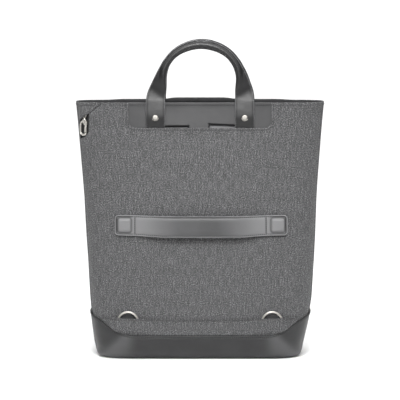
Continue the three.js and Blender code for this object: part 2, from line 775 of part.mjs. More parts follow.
// Strap for a suitcase's handle: sewn down at both ends and bowed out between them
function luggageStrap() {
  const half = luggageStrapLength / 2;
  const steps = 28;
  const low = luggageStrapHeight - luggageStrapWidth / 2;
  const bow = (x) => luggageStrapBow * smooth((half - luggageStrapSewnEnd - Math.abs(x)) / 45);
  const sheet = (from, to, rise, zs, count) => {
    const grid = (out) =>
      zs.map((z) =>
        [...Array(count + 1).keys()].map((i) => {
          const x = lerp(to, from, i / count);
          const point = facePoint(x + luggageStrapShift, z, gap + out + bow(x) + rise(x));
          return [point.x, point.y, point.z];
        }),
      );
    return toSolid(wallGeometry(grid(luggageStrapThickness), grid(0), false));
  };
  const strap = sheet(-half, half, () => 0, [low, low + luggageStrapWidth], steps).intersect(
    facePrism(
      roundedOutline(
        luggageStrapShift - half,
        luggageStrapShift + half,
        low,
        low + luggageStrapWidth,
        luggageStrapCornerRadius,
      ),
    ),
  );
  const padMiddle = half - luggageStrapSewnEnd / 2;
  const padHalf = endPadSize / 2;
  const pads = [-1, 1].map((side) => {
    const middle = side * padMiddle;
    const padLow = low + (luggageStrapWidth - endPadSize) / 2;
    return sheet(middle - padHalf, middle + padHalf, () => endPadHeight, [padLow, padLow + endPadSize], 2);
  });
  return solidMesh("luggage_strap", toGeometry(strap.add(pads[0]).add(pads[1])), "leather");
}

// The line of a D-ring's wire: half a circle, two short legs and a straight bar with rounded corners
class RingLine extends THREE.Curve {
  getPoint(t, target = new THREE.Vector3()) {
    const flat = ringLine.getPointAt(t % 1);
    return target.set(flat.x, flat.y, 0);
  }
}
const ringLine = new THREE.Path();
ringLine.absarc(0, 0, ringRadius, 0, Math.PI);
ringLine.lineTo(-ringRadius, -ringLegLength + ringCornerRadius);
ringLine.absarc(
  -ringRadius + ringCornerRadius,
  -ringLegLength + ringCornerRadius,
  ringCornerRadius,
  Math.PI,
  1.5 * Math.PI,
);
ringLine.lineTo(ringRadius - ringCornerRadius, -ringLegLength);
ringLine.absarc(
  ringRadius - ringCornerRadius,
  -ringLegLength + ringCornerRadius,
  ringCornerRadius,
  1.5 * Math.PI,
  2 * Math.PI,
);
ringLine.closePath();

function dRing(name, side) {
  const tube = new THREE.TubeGeometry(new RingLine(), ringSteps, ringWire / 2, wireSides, true);
  const mesh = solidMesh(name, toGeometry(toSolid(tube)), "nickel");
  mesh.applyMatrix4(faceFrame(side * ringX, ringCentreHeight, ringOut));
  return mesh;
}

// A loop of webbing round a bar: its cut side is drawn up the wall and out of it, then made as wide as
// the webbing. top and tail are measured from the bar, and the loop narrows above the bar if top is longer.
function webbingLoop(name, width, barRadius, top, tail, frame) {
  const inner = barRadius + gap;
  const outer = inner + webbing;
  const flat = webbing + gap / 2;
  const shape = new THREE.Shape();
  shape.moveTo(-outer, -tail);
  shape.lineTo(-outer + 2 * flat, -tail);
  shape.lineTo(-outer + 2 * flat, -outer);
  shape.lineTo(outer, -inner / 2);
  shape.lineTo(outer, inner / 2);
  if (top > 2 * outer) {
    shape.lineTo(inner / 2, outer);
    shape.lineTo(-outer + webbing, 2 * outer);
    shape.lineTo(-outer + webbing, top);
    shape.lineTo(-outer, top);
  } else {
    shape.lineTo(inner / 2, outer);
    shape.lineTo(-outer, outer);
  }
  const hole = new THREE.Path();
  hole.absarc(0, 0, inner, 0, 2 * Math.PI, true);
  shape.holes.push(hole);
  const loop = new THREE.ExtrudeGeometry(shape, { depth: width, bevelEnabled: false, curveSegments: 5 });
  const turned = new THREE.Matrix4().makeBasis(
    new THREE.Vector3(0, 0, 1),
    new THREE.Vector3(0, 1, 0),
    new THREE.Vector3(-1, 0, 0),
  );
  loop.translate(0, 0, -width / 2).applyMatrix4(turned);
  const mesh = solidMesh(name, loop, "webbing");
  mesh.applyMatrix4(frame);
  return mesh;
}

function ringLoop(name, side) {
  const barHeight = ringCentreHeight - ringLegLength;
  const frame = faceFrame(side * ringX, ringCentreHeight, ringOut).multiply(
    new THREE.Matrix4().makeTranslation(0, -ringLegLength, 0),
  );
  return webbingLoop(name, ringLoopWidth, ringWire / 2, ringLoopTop - barHeight, barHeight - ringLoopTail, frame);
}

// Snap hook: drawn flat, with Y up its length and the gate on its right. Its lowest point is at Y 0.
const hookPivotY = hookLength - hookPivotDrop;
const gateX = hookWidth / 2 - hookGateWidth / 2;
const hookBackOut = gap - cloth;
const hookHeight = bodyHeight - hookTopDrop - hookLength / 2;
const hookX = hookInset - seamReach(hookHeight);
const hookFrame = faceFrame(hookX, hookHeight, hookBackOut + hookThickness / 2);
hookFrame.multiply(new THREE.Matrix4().makeTranslation(0, -hookLength / 2, 0));

function plate(shape, thickness) {
  const made = new THREE.ExtrudeGeometry(shape, { depth: thickness, bevelEnabled: false, curveSegments: 4 });
  return made.translate(0, 0, -thickness / 2);
}

function snapHook() {
  const half = hookWidth / 2;
  const neck = hookEyeWidth / 4;
  const body = new THREE.Shape();
  body.moveTo(0, 0);
  body.lineTo(half - hookNoseHeight, 0);
  body.absarc(half - hookNoseHeight, hookNoseHeight, hookNoseHeight, -Math.PI / 2, 0);
  body.lineTo(half - hookGateWidth, hookNoseHeight);
  body.quadraticCurveTo(half - hookGateWidth, hookBar, 0, hookBar);
  body.quadraticCurveTo(-half + hookBar, hookBar, -half + hookBar, half);
  body.lineTo(-half + hookBar, hookPivotY - hookBar);
  body.quadraticCurveTo(-half + hookBar, hookPivotY, 0, hookPivotY);
  body.lineTo(half - hookGateWidth - gap, hookPivotY - hookGateWidth);
  body.lineTo(half, hookPivotY - hookGateWidth);
  body.lineTo(half, hookPivotY + hookBar);
  body.quadraticCurveTo(neck, hookLength - hookBar, neck, hookLength + hookEyeWire / 2);
  body.lineTo(-neck, hookLength + hookEyeWire / 2);
  body.quadraticCurveTo(-neck, hookLength - hookBar, -half, hookPivotY - hookBar);
  body.lineTo(-half, half);
  body.quadraticCurveTo(-half, 0, 0, 0);
  const eye = roundedOutline(-hookEyeWidth / 2, hookEyeWidth / 2, hookLength, hookLength + hookEyeHeight, 2);
  eye.holes.push(
    roundedOutline(
      -hookEyeWidth / 2 + hookEyeWire,
      hookEyeWidth / 2 - hookEyeWire,
      hookLength + hookEyeWire,
      hookLength + hookEyeHeight - hookEyeWire,
      0.4,
    ),
  );
  const slotInner = gateX - hookGateWidth;
  const slotWidth = half + hookBar - slotInner;
  const slot = new THREE.BoxGeometry(slotWidth, 2 * hookGateWidth + hookBar, hookGateThickness + 2 * gap);
  slot.translate(slotInner + slotWidth / 2, hookPivotY - hookGateWidth / 4, 0);
  const pinHole = new THREE.CylinderGeometry(hookPinRadius + gap, hookPinRadius + gap, cutReach, lathSteps);
  pinHole.rotateX(Math.PI / 2).translate(gateX, hookPivotY, 0);
  const solid = toSolid(plate(body, hookThickness))
    .add(toSolid(plate(eye, hookEyeWire)))
    .subtract(toSolid(slot))
    .subtract(toSolid(pinHole));
  const mesh = solidMesh("snap_hook", toGeometry(solid), "nickel");
  mesh.applyMatrix4(hookFrame);
  return mesh;
}

function snapHookGate() {
  const half = hookGateWidth / 2 - gap;
  const low = hookNoseHeight + gap + 0.1;
  const bar = new THREE.Shape();
  bar.moveTo(gateX - half, low);
  bar.lineTo(gateX + half, low);
  bar.lineTo(gateX + half, hookPivotY);
  bar.absarc(gateX, hookPivotY, half, 0, Math.PI);
  const pinHole = new THREE.CylinderGeometry(hookPinRadius + gap, hookPinRadius + gap, cutReach, lathSteps);
  pinHole.rotateX(Math.PI / 2).translate(gateX, hookPivotY, 0);
  const thickLength = hookPivotY - hookGateWidth - 4 * gap - low;
  const thick = new THREE.BoxGeometry(2 * half, thickLength, hookThickness);
  thick.translate(gateX, low + thickLength / 2, 0);
  const solid = toSolid(plate(bar, hookGateThickness)).add(toSolid(thick)).subtract(toSolid(pinHole));
  const mesh = solidMesh("snap_hook_gate", toGeometry(solid), "nickel");
  mesh.applyMatrix4(hookFrame);
  return mesh;
}

function snapHookPin() {
  const pin = new THREE.CylinderGeometry(hookPinRadius, hookPinRadius, hookThickness, lathSteps);
  pin.rotateX(Math.PI / 2).translate(gateX, hookPivotY, 0);
  const mesh = solidMesh("snap_hook_pin", pin, "nickel");
  mesh.applyMatrix4(hookFrame);
  return mesh;
}

function snapHookLoop() {
  const barY = hookLength + hookEyeHeight - hookEyeWire / 2;
  const barRadius = hookEyeWire * Math.SQRT1_2;
  const frame = hookFrame
    .clone()
    .multiply(new THREE.Matrix4().makeTranslation(0, barY, 0))
    .multiply(new THREE.Matrix4().makeRotationX(Math.PI))
    .multiply(new THREE.Matrix4().makeRotationY(Math.PI));
  const width = hookEyeWidth - 2 * hookEyeWire - 2 * gap - 1;
  return webbingLoop("snap_hook_loop", width, barRadius, 0, hookLoopLength, frame);
}

const bag = new THREE.Group();
bag.add(
  backPanel(),
  pocketPanel(),
  frontPanel(),
  sidePanel("side_panel_left", leftSide),
  sidePanel("side_panel_right", rightSide),
  lining(),
  leatherBase(),
  lowerBand(),
  handlePatch(),
  cornerFlap(),
  handle("handle_back", false, 0, backLegSurface, backRivets),
  handle("handle_front", true, frontHandleShift, frontLegSurface, frontRivets),
  luggageStrap(),
  shoulderStrap("shoulder_strap_left", -1),
  shoulderStrap("shoulder_strap_right", 1),
  snapHook(),
  snapHookGate(),
  snapHookPin(),
  snapHookLoop(),
);
["left", "right"].forEach((word, i) => {
  const side = i === 0 ? -1 : 1;
  bag.add(
    rivet(`rivet_back_${word}`, backRivets[i], backLegSurface, -cloth - 2 * gap - leather - backCloth),
    rivet(`rivet_front_${word}`, frontRivets[i], frontLegSurface, -backCloth),
    dRing(`d_ring_${word}`, side),
    ringLoop(`d_ring_loop_${word}`, side),
  );
});

// The origin lies on the floor, under the middle of all that the bag reaches to
const reach = new THREE.Box3().setFromObject(bag);
const middle = reach.getCenter(new THREE.Vector3());
bag.position.set(-middle.x, -middle.y, -reach.min.z);

export default bag;
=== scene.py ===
import math
import bpy
import numpy as np
from mathutils import Euler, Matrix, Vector
from mathutils.geometry import delaunay_2d_cdt


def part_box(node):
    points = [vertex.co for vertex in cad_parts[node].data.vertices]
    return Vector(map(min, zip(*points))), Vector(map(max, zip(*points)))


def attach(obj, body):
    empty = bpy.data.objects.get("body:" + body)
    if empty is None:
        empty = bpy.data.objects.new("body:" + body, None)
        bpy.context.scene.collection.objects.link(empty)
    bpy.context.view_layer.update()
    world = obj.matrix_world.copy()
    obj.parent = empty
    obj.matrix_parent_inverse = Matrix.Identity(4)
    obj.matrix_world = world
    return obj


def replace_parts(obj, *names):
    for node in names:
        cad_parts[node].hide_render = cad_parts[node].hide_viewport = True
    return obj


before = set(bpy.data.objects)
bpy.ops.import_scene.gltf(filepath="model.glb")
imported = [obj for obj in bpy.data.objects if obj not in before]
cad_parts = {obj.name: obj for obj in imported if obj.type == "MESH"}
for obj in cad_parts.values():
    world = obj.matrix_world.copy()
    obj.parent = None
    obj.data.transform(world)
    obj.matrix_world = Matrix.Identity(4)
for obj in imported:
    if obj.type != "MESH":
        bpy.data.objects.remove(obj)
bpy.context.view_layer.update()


# The bag's form. Its cloth walls were cut and sewn to this shape: nearly a rectangle on the leather
# base, leaning in to a narrow mouth with pointed sides at the rim. Sizes are millimetres along the frame's
# axes.
MID_Y = 500 * sum(corner.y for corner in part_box("side_panel_left"))
HEIGHT = 407
RIM_HALF, BASE_HALF = 198, 160
RIM_DEPTH, BASE_DEPTH, CROWN = 24, 66, 7
WALL_ROWS = np.array([
    # height, width and depth as shares, the faces' crown, the strap pocket's depth
    (0.034, 0.04, 0.98, 0, 0), (0.13, 0.25, 1, 0.25, 0), (0.22, 0.385, 0.985, 0.5, 0.8),
    (0.31, 0.46, 0.92, 0.75, 1), (0.46, 0.56, 0.76, 1, 1), (0.62, 0.65, 0.58, 1, 1),
    (0.78, 0.77, 0.36, 0.7, 1), (0.86, 0.84, 0.24, 0.5, 0.6), (0.935, 0.92, 0.11, 0.2, 0),
    (1, 1, 0, 0, 0),
])
levels = np.linspace(0, 1.02, 320)
window = np.hanning(23) / np.hanning(23).sum()


def eased(column):
    line = np.interp(levels, WALL_ROWS[:, 0], WALL_ROWS[:, column])
    return np.convolve(np.pad(line, 11, mode="reflect", reflect_type="odd"), window, mode="valid")


half_width = BASE_HALF + (RIM_HALF - BASE_HALF) * eased(1)
half_depth = RIM_DEPTH + (BASE_DEPTH - RIM_DEPTH) * eased(2)
crown = CROWN * eased(3)
pocket = eased(4)


def at_height(values, z):
    return np.interp(np.asarray(z, float) / HEIGHT, levels, values)


# How much further out than the section each side edge stands, by its height
FULLER = {
    -1: ((0, 2.4), (23, 4.0), (46, 2.6), (70, 1.6), (93, 1.0), (155, 0.2), (345, 0.6), (407, 0.2)),
    1: ((0, 0), (23, 0.8), (46, 1.9), (70, 3.0), (93, 4.0), (155, 3.5), (218, 2.4), (282, 1.4), (407, 0.2)),
}
# A quarter of the section, from the middle of a face round to the middle of a side, by its length
quarter_x = np.concatenate([np.linspace(0, 0.9, 400), 1 - np.geomspace(0.1, 1e-9, 900), [1.0]])
quarter_y = (1 - quarter_x**9) ** 0.36
quarter_s = np.concatenate([[0], np.cumsum(np.hypot(179 * np.diff(quarter_x), 45 * np.diff(quarter_y)))])
TIP = quarter_s[-1]
SEAM = float(np.interp(0.42, quarter_y[::-1], quarter_s[::-1]))
GUSSET = TIP - SEAM


def smooth(t):
    """A soft step from 0 to 1."""
    t = np.clip(t, 0, 1)
    return t * t * (3 - 2 * t)


def ridge(value, middle, wide):
    """A soft ridge: 1 at its middle, and nothing left of it at twice its width."""
    return np.exp(-(((value - middle) / wide) ** 2))


def unit(vectors):
    return vectors / np.linalg.norm(vectors, axis=-1, keepdims=True)


def skin(face, s, z):
    """Points on the body's outer surface: s runs across a face or side from its middle, in millimetres."""
    s, z = np.broadcast_arrays(np.asarray(s, float), np.asarray(z, float))
    along = np.abs(s) if face in ("strap", "front") else TIP - np.abs(s)
    x, y = np.interp(along, quarter_s, quarter_x), np.interp(along, quarter_s, quarter_y)
    wide, deep = x * at_height(half_width, z), y * at_height(half_depth, z)
    deep = deep + at_height(crown, z) * (1 - x**2) ** 2
    if face in ("strap", "front"):
        side, deep = np.sign(s), deep * (1 if face == "front" else -1)
    else:
        side, deep = 1.0 if face == "right" else -1.0, np.sign(s) * deep
    fuller = [np.interp(z, *np.transpose(FULLER[way])) for way in (-1, 1)]
    wide = side * (wide + x**5 * np.where(side > 0, fuller[1], fuller[0]))
    return np.stack([wide, deep, z], axis=-1)


def outwards(face, s, z):
    reach = 0.7
    across = skin(face, np.asarray(s) + reach, z) - skin(face, np.asarray(s) - reach, z)
    up = skin(face, s, np.asarray(z) + reach) - skin(face, s, np.asarray(z) - reach)
    return unit(np.cross(across, up) * (1 if face in ("strap", "right") else -1))


def wall(face, s, z, out=0.0):
    """Points at a distance out of the body's surface, in metres in the frame."""
    point = skin(face, s, z) + outwards(face, s, z) * np.asarray(out, float)[..., None]
    return (point + [0, MID_Y, 0]) / 1000


def across_at(x, z):
    """How far across a face a point lies that is seen at x from straight in front."""
    share = np.clip(np.abs(x) / at_height(half_width, z), 0, 0.99999)
    return np.sign(x) * np.interp(share, quarter_x, quarter_s)


def seen_x(s, z):
    """Where a point of a face is seen from straight in front."""
    return np.sign(s) * np.interp(np.abs(s), quarter_s, quarter_x) * at_height(half_width, z)


def ripple(s, z, seed):
    """Soft unevenness of hand-filled cloth, from -1 to 1."""
    total = 0
    for k, (fs, fz) in enumerate(((61, 97), (113, 43), (37, 151), (171, 211))):
        total = total + np.sin(s / fs * 2 + seed * 1.7 + k * 2.1) * np.sin(z / fz * 2 + seed * 2.3 + k * 1.3)
    return total / 2.6


def mesh_piece(name, points, faces, material, body="bag", slot="bag_cloth", uv=None, **values):
    """A named piece, with its material and any values that the material reads at each point."""
    mesh = bpy.data.meshes.new(name)
    mesh.from_pydata([tuple(p) for p in np.asarray(points)], [], [tuple(int(i) for i in f) for f in faces])
    mesh.validate()
    mesh.polygons.foreach_set("use_smooth", np.ones(len(mesh.polygons), bool))
    if uv is not None:
        corner = np.zeros(len(mesh.loops), np.int32)
        mesh.loops.foreach_get("vertex_index", corner)
        mesh.uv_layers.new(name="cut").data.foreach_set("uv", np.asarray(uv, np.float32)[corner].ravel())
    for key, value in values.items():
        mesh.attributes.new(key, "FLOAT", "POINT").data.foreach_set("value", np.asarray(value, np.float32))
    mesh.update()
    mesh.materials.append(material)
    piece = bpy.data.objects.new(name, mesh)
    bpy.context.scene.collection.objects.link(piece)
    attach(piece, body)
    return piece


def dense(corners, step=2.5):
    """A closed outline with points no further apart than the step."""
    corners = np.asarray(corners, float)
    line = []
    for a, b in zip(corners, np.roll(corners, -1, axis=0)):
        count = max(1, math.ceil(np.linalg.norm(b - a) / step))
        line += [a + (b - a) * k / count for k in range(count)]
    return np.array(line)


def arc(centre, radius, start, end, count=9):
    turn = np.radians(np.linspace(start, end, count))
    return [(centre[0] + radius * math.cos(t), centre[1] + radius * math.sin(t)) for t in turn]


def line_distance(points, line):
    """Each point's distance from an open line of corners."""
    best = np.full(len(points), 1e9)
    for p, q in zip(line[:-1], line[1:]):
        d = q - p
        t = np.clip(((points - p) @ d) / max(d @ d, 1e-9), 0, 1)
        best = np.minimum(best, np.linalg.norm(points - (p + t[:, None] * d), axis=1))
    return best


def edge_distance(points, outline):
    return line_distance(points, np.append(outline, outline[:1], axis=0))


def inwards(outline):
    """The direction into a closed outline at each of its points."""
    ahead = np.roll(outline, -1, axis=0) - np.roll(outline, 1, axis=0)
    return unit(np.stack([-ahead[:, 1], ahead[:, 0]], axis=1))


def cut_cloth(outline, spacing, rounding):
    """A flat cut of cloth or leather: its points, its triangles and each point's distance from the edge."""
    outline = dense(outline, min(spacing, 2.5))
    area = np.sum(outline[:, 0] * np.roll(outline[:, 1], -1) - np.roll(outline[:, 0], -1) * outline[:, 1])
    if area < 0:
        outline = outline[::-1]
    borders = []
    for share in (0.3, 1.0, 2.2):
        border = outline + inwards(outline) * rounding * share
        borders.append(border[edge_distance(border, outline) > rounding * share * 0.9])
    low, high = outline.min(0), outline.max(0)
    gx, gz = np.meshgrid(np.arange(low[0], high[0], spacing), np.arange(low[1], high[1], spacing))
    gx = gx + spacing / 2 * (np.round((gz - low[1]) / spacing) % 2)
    grid = np.stack([gx.ravel(), gz.ravel()], axis=1)
    grid = grid[edge_distance(grid, outline) > max(rounding * 2.6, spacing * 0.6)]
    points = np.concatenate([outline, *borders, grid])
    flat, _, faces, *_ = delaunay_2d_cdt(
        [tuple(p) for p in points], [], [list(range(len(outline)))], 1, 1e-5)
    flat = np.array([tuple(p) for p in flat])
    return flat, faces, edge_distance(flat, outline)


def sewn_piece(name, face, outline, out, thickness, material, spacing=4.0, rounding=1.2, lay=wall,
               values=None, **kept):
    """A cut laid on the body at the distance out(s, z, edge), with a rounded edge all round."""
    flat, faces, edge = cut_cloth(outline, spacing, rounding)
    s, z = flat[:, 0], flat[:, 1]
    depth = thickness(s, z) if callable(thickness) else thickness
    middle = out(s, z, edge) - depth / 2
    swell = depth / 2 * np.sqrt(np.clip(1 - (1 - np.clip(edge / rounding, 0, 1)) ** 2, 0, 1))
    rim = edge < 1e-3
    count = len(flat)
    inner_index = np.where(rim, np.arange(count), count + np.cumsum(~rim) - 1)
    outer = lay(face, s, z, middle + swell)
    inner = lay(face, s, z, middle - swell)[~rim]
    front = [f if face in ("strap", "right") else f[::-1] for f in faces]
    back = [[inner_index[i] for i in f[::-1]] for f in front]
    uv = np.concatenate([flat, flat[~rim]]) / 1000
    edge_reach = np.concatenate([edge, edge[~rim]])
    for key, value in (values or {}).items():
        kept[key] = np.concatenate([value(s, z, edge), 0 * edge[~rim]])
    return mesh_piece(name, np.concatenate([outer, inner]), front + back, material, uv=uv, edge=edge_reach, **kept)


def node(tree, kind, inputs=None, **settings):
    made = tree.nodes.new(kind)
    for key, value in settings.items():
        setattr(made, key, value)
    for key, value in (inputs or {}).items():
        if isinstance(value, bpy.types.NodeSocket):
            tree.links.new(value, made.inputs[key])
        else:
            made.inputs[key].default_value = value
    return made


def linear(hex_colour):
    parts = [int(hex_colour[i : i + 2], 16) / 255 for i in (1, 3, 5)]
    return (*(c / 12.92 if c <= 0.04045 else ((c + 0.055) / 1.055) ** 2.4 for c in parts), 1)


def new_material(name, roughness, metallic=0.0, **constants):
    material = bpy.data.materials.new(name)
    material.use_nodes = True
    shader = material.node_tree.nodes["Principled BSDF"]
    shader.inputs["Roughness"].default_value = roughness
    shader.inputs["Metallic"].default_value = metallic
    for key, value in constants.items():
        shader.inputs[key.replace("_", " ")].default_value = value
    return material, material.node_tree, shader


# Heathered polyester twill: dull matt yarns of two greys twisted together, piece-dyed, so the eye sees
# fine upright flecks and no shine. The yarns are 0.5 mm apart on such cloth; the twill is drawn at
# 1.1 mm and the flecks at 1.5 by 1.8 mm, as coarse as a picture of the whole bag needs, with long faint
# slubs of thicker yarn.
def heathered_cloth(name, dark, middle, light):
    fleck, twill, relief = 1.5, 1.1, 0.2
    material, tree, shader = new_material(name, 0.92, Sheen_Weight=0.1, Sheen_Roughness=0.5, IOR=1.46)
    cut = node(tree, "ShaderNodeUVMap", uv_map="cut").outputs["UV"]
    flecks = node(tree, "ShaderNodeMapping", {"Vector": cut, "Scale": (1000 / fleck, 840 / fleck, 1)})
    yarn = node(tree, "ShaderNodeTexNoise",
                {"Vector": flecks.outputs[0], "Scale": 1.0, "Detail": 3.0, "Roughness": 0.75},
                noise_dimensions="2D")
    slubs = node(tree, "ShaderNodeMapping", {"Vector": cut, "Scale": (460, 60, 1)})
    slub = node(tree, "ShaderNodeTexNoise", {"Vector": slubs.outputs[0], "Scale": 1.0, "Detail": 1.0},
                noise_dimensions="2D")
    mixed = node(tree, "ShaderNodeMath", {0: yarn.outputs["Fac"], 1: 0.84}, operation="MULTIPLY")
    mixed = node(tree, "ShaderNodeMath", {0: slub.outputs["Fac"], 1: 0.16, 2: mixed.outputs[0]},
                 operation="MULTIPLY_ADD")
    low = node(tree, "ShaderNodeMapRange", {"Value": mixed.outputs[0], "From Min": 0.3, "From Max": 0.5})
    high = node(tree, "ShaderNodeMapRange", {"Value": mixed.outputs[0], "From Min": 0.5, "From Max": 0.7})
    colour = node(tree, "ShaderNodeMix", {"Factor": low.outputs[0], "A": linear(dark), "B": linear(middle)},
                  data_type="RGBA")
    colour = node(tree, "ShaderNodeMix", {"Factor": high.outputs[0], "A": colour.outputs["Result"],
                                          "B": linear(light)}, data_type="RGBA")
    tree.links.new(colour.outputs["Result"], shader.inputs["Base Color"])
    turned_cut = node(tree, "ShaderNodeMapping", {"Vector": cut, "Scale": (1000, 1000, 1),
                                                  "Rotation": (0, 0, math.radians(63))})
    ribs = node(tree, "ShaderNodeTexWave", {"Vector": turned_cut.outputs[0], "Scale": 0.314 / twill,
                                            "Distortion": 1.2, "Detail": 1.0, "Detail Scale": 2.0})
    height = node(tree, "ShaderNodeMath", {0: ribs.outputs["Fac"], 1: 0.25, 2: yarn.outputs["Fac"]},
                  operation="MULTIPLY_ADD")
    bump = node(tree, "ShaderNodeBump",
                {"Height": height.outputs[0], "Strength": 0.5, "Distance": relief / 1000})
    tree.links.new(bump.outputs[0], shader.inputs["Normal"])
    return material


wall_cloth = heathered_cloth("heathered_polyester_twill", "#222223", "#454546", "#818182")


# Back panel: the bag's inner wall on the strap side, 2 mm of near black lining cloth over foam, behind
# the strap pocket. It is sewn in at both side seams and shows only through the pocket's slit and slots.
# All cloth walls end a little way up inside the leather tray.
POCKET_DEPTH, POCKET_TAPER, CLOTH, WALL_CLOTH, LEATHER, GAP = 6, 45, 1.8, 2.0, 1.7, 0.3
CLOTH_LOW = 14


def plain_woven(name, colour, light, roughness, thread, sheen=0.05):
    """Plain-woven polyester: close smooth threads, over and under, with a faint shine."""
    material, tree, shader = new_material(name, roughness, Sheen_Weight=sheen, IOR=1.46)
    cut = node(tree, "ShaderNodeUVMap", uv_map="cut").outputs["UV"]
    threads = [node(tree, "ShaderNodeTexWave", {"Vector": cut, "Scale": 314 / thread, "Distortion": 0.4},
                    bands_direction=way) for way in ("X", "Y")]
    height = node(tree, "ShaderNodeMath", {0: threads[0].outputs["Fac"], 1: threads[1].outputs["Fac"]},
                  operation="MULTIPLY")
    fade = node(tree, "ShaderNodeTexNoise", {"Vector": cut, "Scale": 60.0, "Detail": 3.0},
                noise_dimensions="2D")
    mixed = node(tree, "ShaderNodeMath", {0: height.outputs[0], 1: 0.5, 2: fade.outputs["Fac"]},
                 operation="MULTIPLY_ADD")
    share = node(tree, "ShaderNodeMapRange", {"Value": mixed.outputs[0], "From Min": 0.3, "From Max": 0.9})
    shade = node(tree, "ShaderNodeMix",
                 {"Factor": share.outputs[0], "A": linear(colour), "B": linear(light)}, data_type="RGBA")
    tree.links.new(shade.outputs["Result"], shader.inputs["Base Color"])
    bump = node(tree, "ShaderNodeBump", {"Height": height.outputs[0], "Strength": 0.5, "Distance": 0.0002})
    tree.links.new(bump.outputs[0], shader.inputs["Normal"])
    return material


lining_material = plain_woven("plain_woven_polyester", "#161617", "#2a2a2c", 0.8, 1.2)


def pocket_back(s, z):
    taper = smooth((SEAM - np.abs(s)) / POCKET_TAPER)
    return CLOTH + GAP + taper * (LEATHER + GAP + POCKET_DEPTH * at_height(pocket, z))


def worn_by_hook(s, z):
    """The cloth and its foam are pressed thinner where the hook's gate swings past."""
    return 1.2 * ridge(seen_x(s, z), -186, 9) * ridge(z, 360, 16)


def upright_cut(half, top):
    """A plain rectangle of cloth, from inside the leather tray up to its top."""
    return [(-half, CLOTH_LOW), (half, CLOTH_LOW), (half, top), (-half, top)]


back_panel = sewn_piece(
    "back_panel_cloth", "strap", upright_cut(SEAM - 1.4, HEIGHT - 0.8),
    lambda s, z, edge: -pocket_back(s, z) - worn_by_hook(s, z), lambda s, z: WALL_CLOTH - worn_by_hook(s, z),
    lining_material)
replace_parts(back_panel, "back_panel")


# Strap pocket panel: the outer twill of the strap side. Its top is cut out in a wide window round the
# handle with a turned hem, and its upper left corner is left open in a slit for the strap's hook.
WINDOW_HALF, WINDOW_LOW, WINDOW_RADIUS = 113.5, HEIGHT - 40, 11
SLIT_RIM, SLIT_TOP, SLIT_OUT = (-153.6, HEIGHT), (-176.6, HEIGHT - 18), (-194, HEIGHT - 38.5)
SLIT_INNER, SLIT_LOW, SLIT_END = -176.6, HEIGHT - 47.5, HEIGHT - 60


def flat_line(points):
    return [(float(across_at(x, z)), z) for x, z in points]


def window_line(beyond, top):
    """The window's edge from its right end round to its left, or a line beyond it."""
    inner, low = WINDOW_HALF - WINDOW_RADIUS, WINDOW_LOW + WINDOW_RADIUS
    return [(WINDOW_HALF + beyond, top), *arc((inner, low), WINDOW_RADIUS + beyond, 0, -90),
            *arc((-inner, low), WINDOW_RADIUS + beyond, -90, -180), (-WINDOW_HALF - beyond, top)]


hem_top = HEIGHT - 0.4
window_edge = window_line(0, hem_top)
slit_edge = [(SLIT_RIM[0] + 0.3, hem_top), (SLIT_TOP[0] + 0.5, SLIT_TOP[1] - 0.6),
             (SLIT_INNER, SLIT_TOP[1] - 4), (SLIT_INNER - 0.3, SLIT_LOW), (SLIT_INNER - 3.5, SLIT_LOW - 5),
             (SLIT_INNER - 8, SLIT_END + 3.5), (SLIT_INNER - 13, SLIT_END + 0.8)]
pocket_outline = [(-SEAM + 1, CLOTH_LOW), (SEAM - 1, CLOTH_LOW), (SEAM - 1, hem_top),
                  *flat_line(window_edge + slit_edge), (-SEAM + 1, SLIT_END)]
window_flat = np.array(flat_line(window_edge))


def seam_dip(s, z):
    """Walls dip at their side seams, and lie a little uneven between them."""
    away = SEAM - np.abs(s)
    free = smooth(away / 30) * smooth((z - CLOTH_LOW) / 60) * smooth((HEIGHT + 5 - z) / 40)
    return -0.5 * (1 - smooth(away / 4)), free


STRAP_Z, STRAP_X, STRAP_HALF = 213.6, 1.6, 136.6
WELL_IN = 9  # a distance from a piece's edge at which no hem is left


def strap_side_out(s, z, edge):
    """The window's hem, the rim's hem, and the hollow where the luggage strap's ends hold the cloth down."""
    dip, free = seam_dip(s, z)
    near = line_distance(np.stack([s, z], axis=1), window_flat)
    hem = 0.9 * (1 - smooth((near - 4.6) / 1.3)) - 0.5 * ridge(near, 3.6, 0.8)
    rim = 0.3 * smooth((z - (HEIGHT - 5)) / 1.2) - 0.25 * ridge(z, HEIGHT - 5.2, 0.8)
    held = ridge(np.abs(seen_x(s, z) - STRAP_X), STRAP_HALF - 12, 16) * ridge(z, STRAP_Z, 20)
    return dip + hem + rim + free * 0.55 * ripple(s, z, 1.0) - 0.6 * held


pocket_panel = sewn_piece("strap_pocket_cloth", "strap", pocket_outline, strap_side_out, CLOTH, wall_cloth,
                          spacing=3.6)
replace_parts(pocket_panel, "strap_pocket_panel")


# Corner flap: the corner of twill above the slit, sewn in at the rim and the side, its free edge turned
# under and stitched. The strap's hook holds it a little open.
def flap_out(s, z, edge):
    x = seen_x(s, z)
    opened = smooth(((SLIT_RIM[0] - x) / 23 - 0.78) / 0.5) * smooth((SEAM + s) / 16)
    opened = opened * (1 - 0.75 * smooth((z - HEIGHT * 0.935) / 26))
    turned_edge = 0.35 * (1 - smooth((edge - 3.4) / 1.2))
    return 6.2 * opened - 0.4 + turned_edge * smooth((z - SLIT_OUT[1]) / 6)


flap_line = flat_line([(SLIT_RIM[0] + 0.1, hem_top), (SLIT_TOP[0] + 0.3, SLIT_TOP[1] - 0.4),
                       (SLIT_OUT[0] + 2.5, SLIT_OUT[1] + 3.4)])
flap_line += [(-SEAM + 0.6, SLIT_OUT[1] + 1.5), (-SEAM + 0.6, hem_top)]
flap = sewn_piece("corner_flap_cloth", "strap", flap_line, flap_out, CLOTH, wall_cloth, spacing=3.0)
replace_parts(flap, "corner_flap")


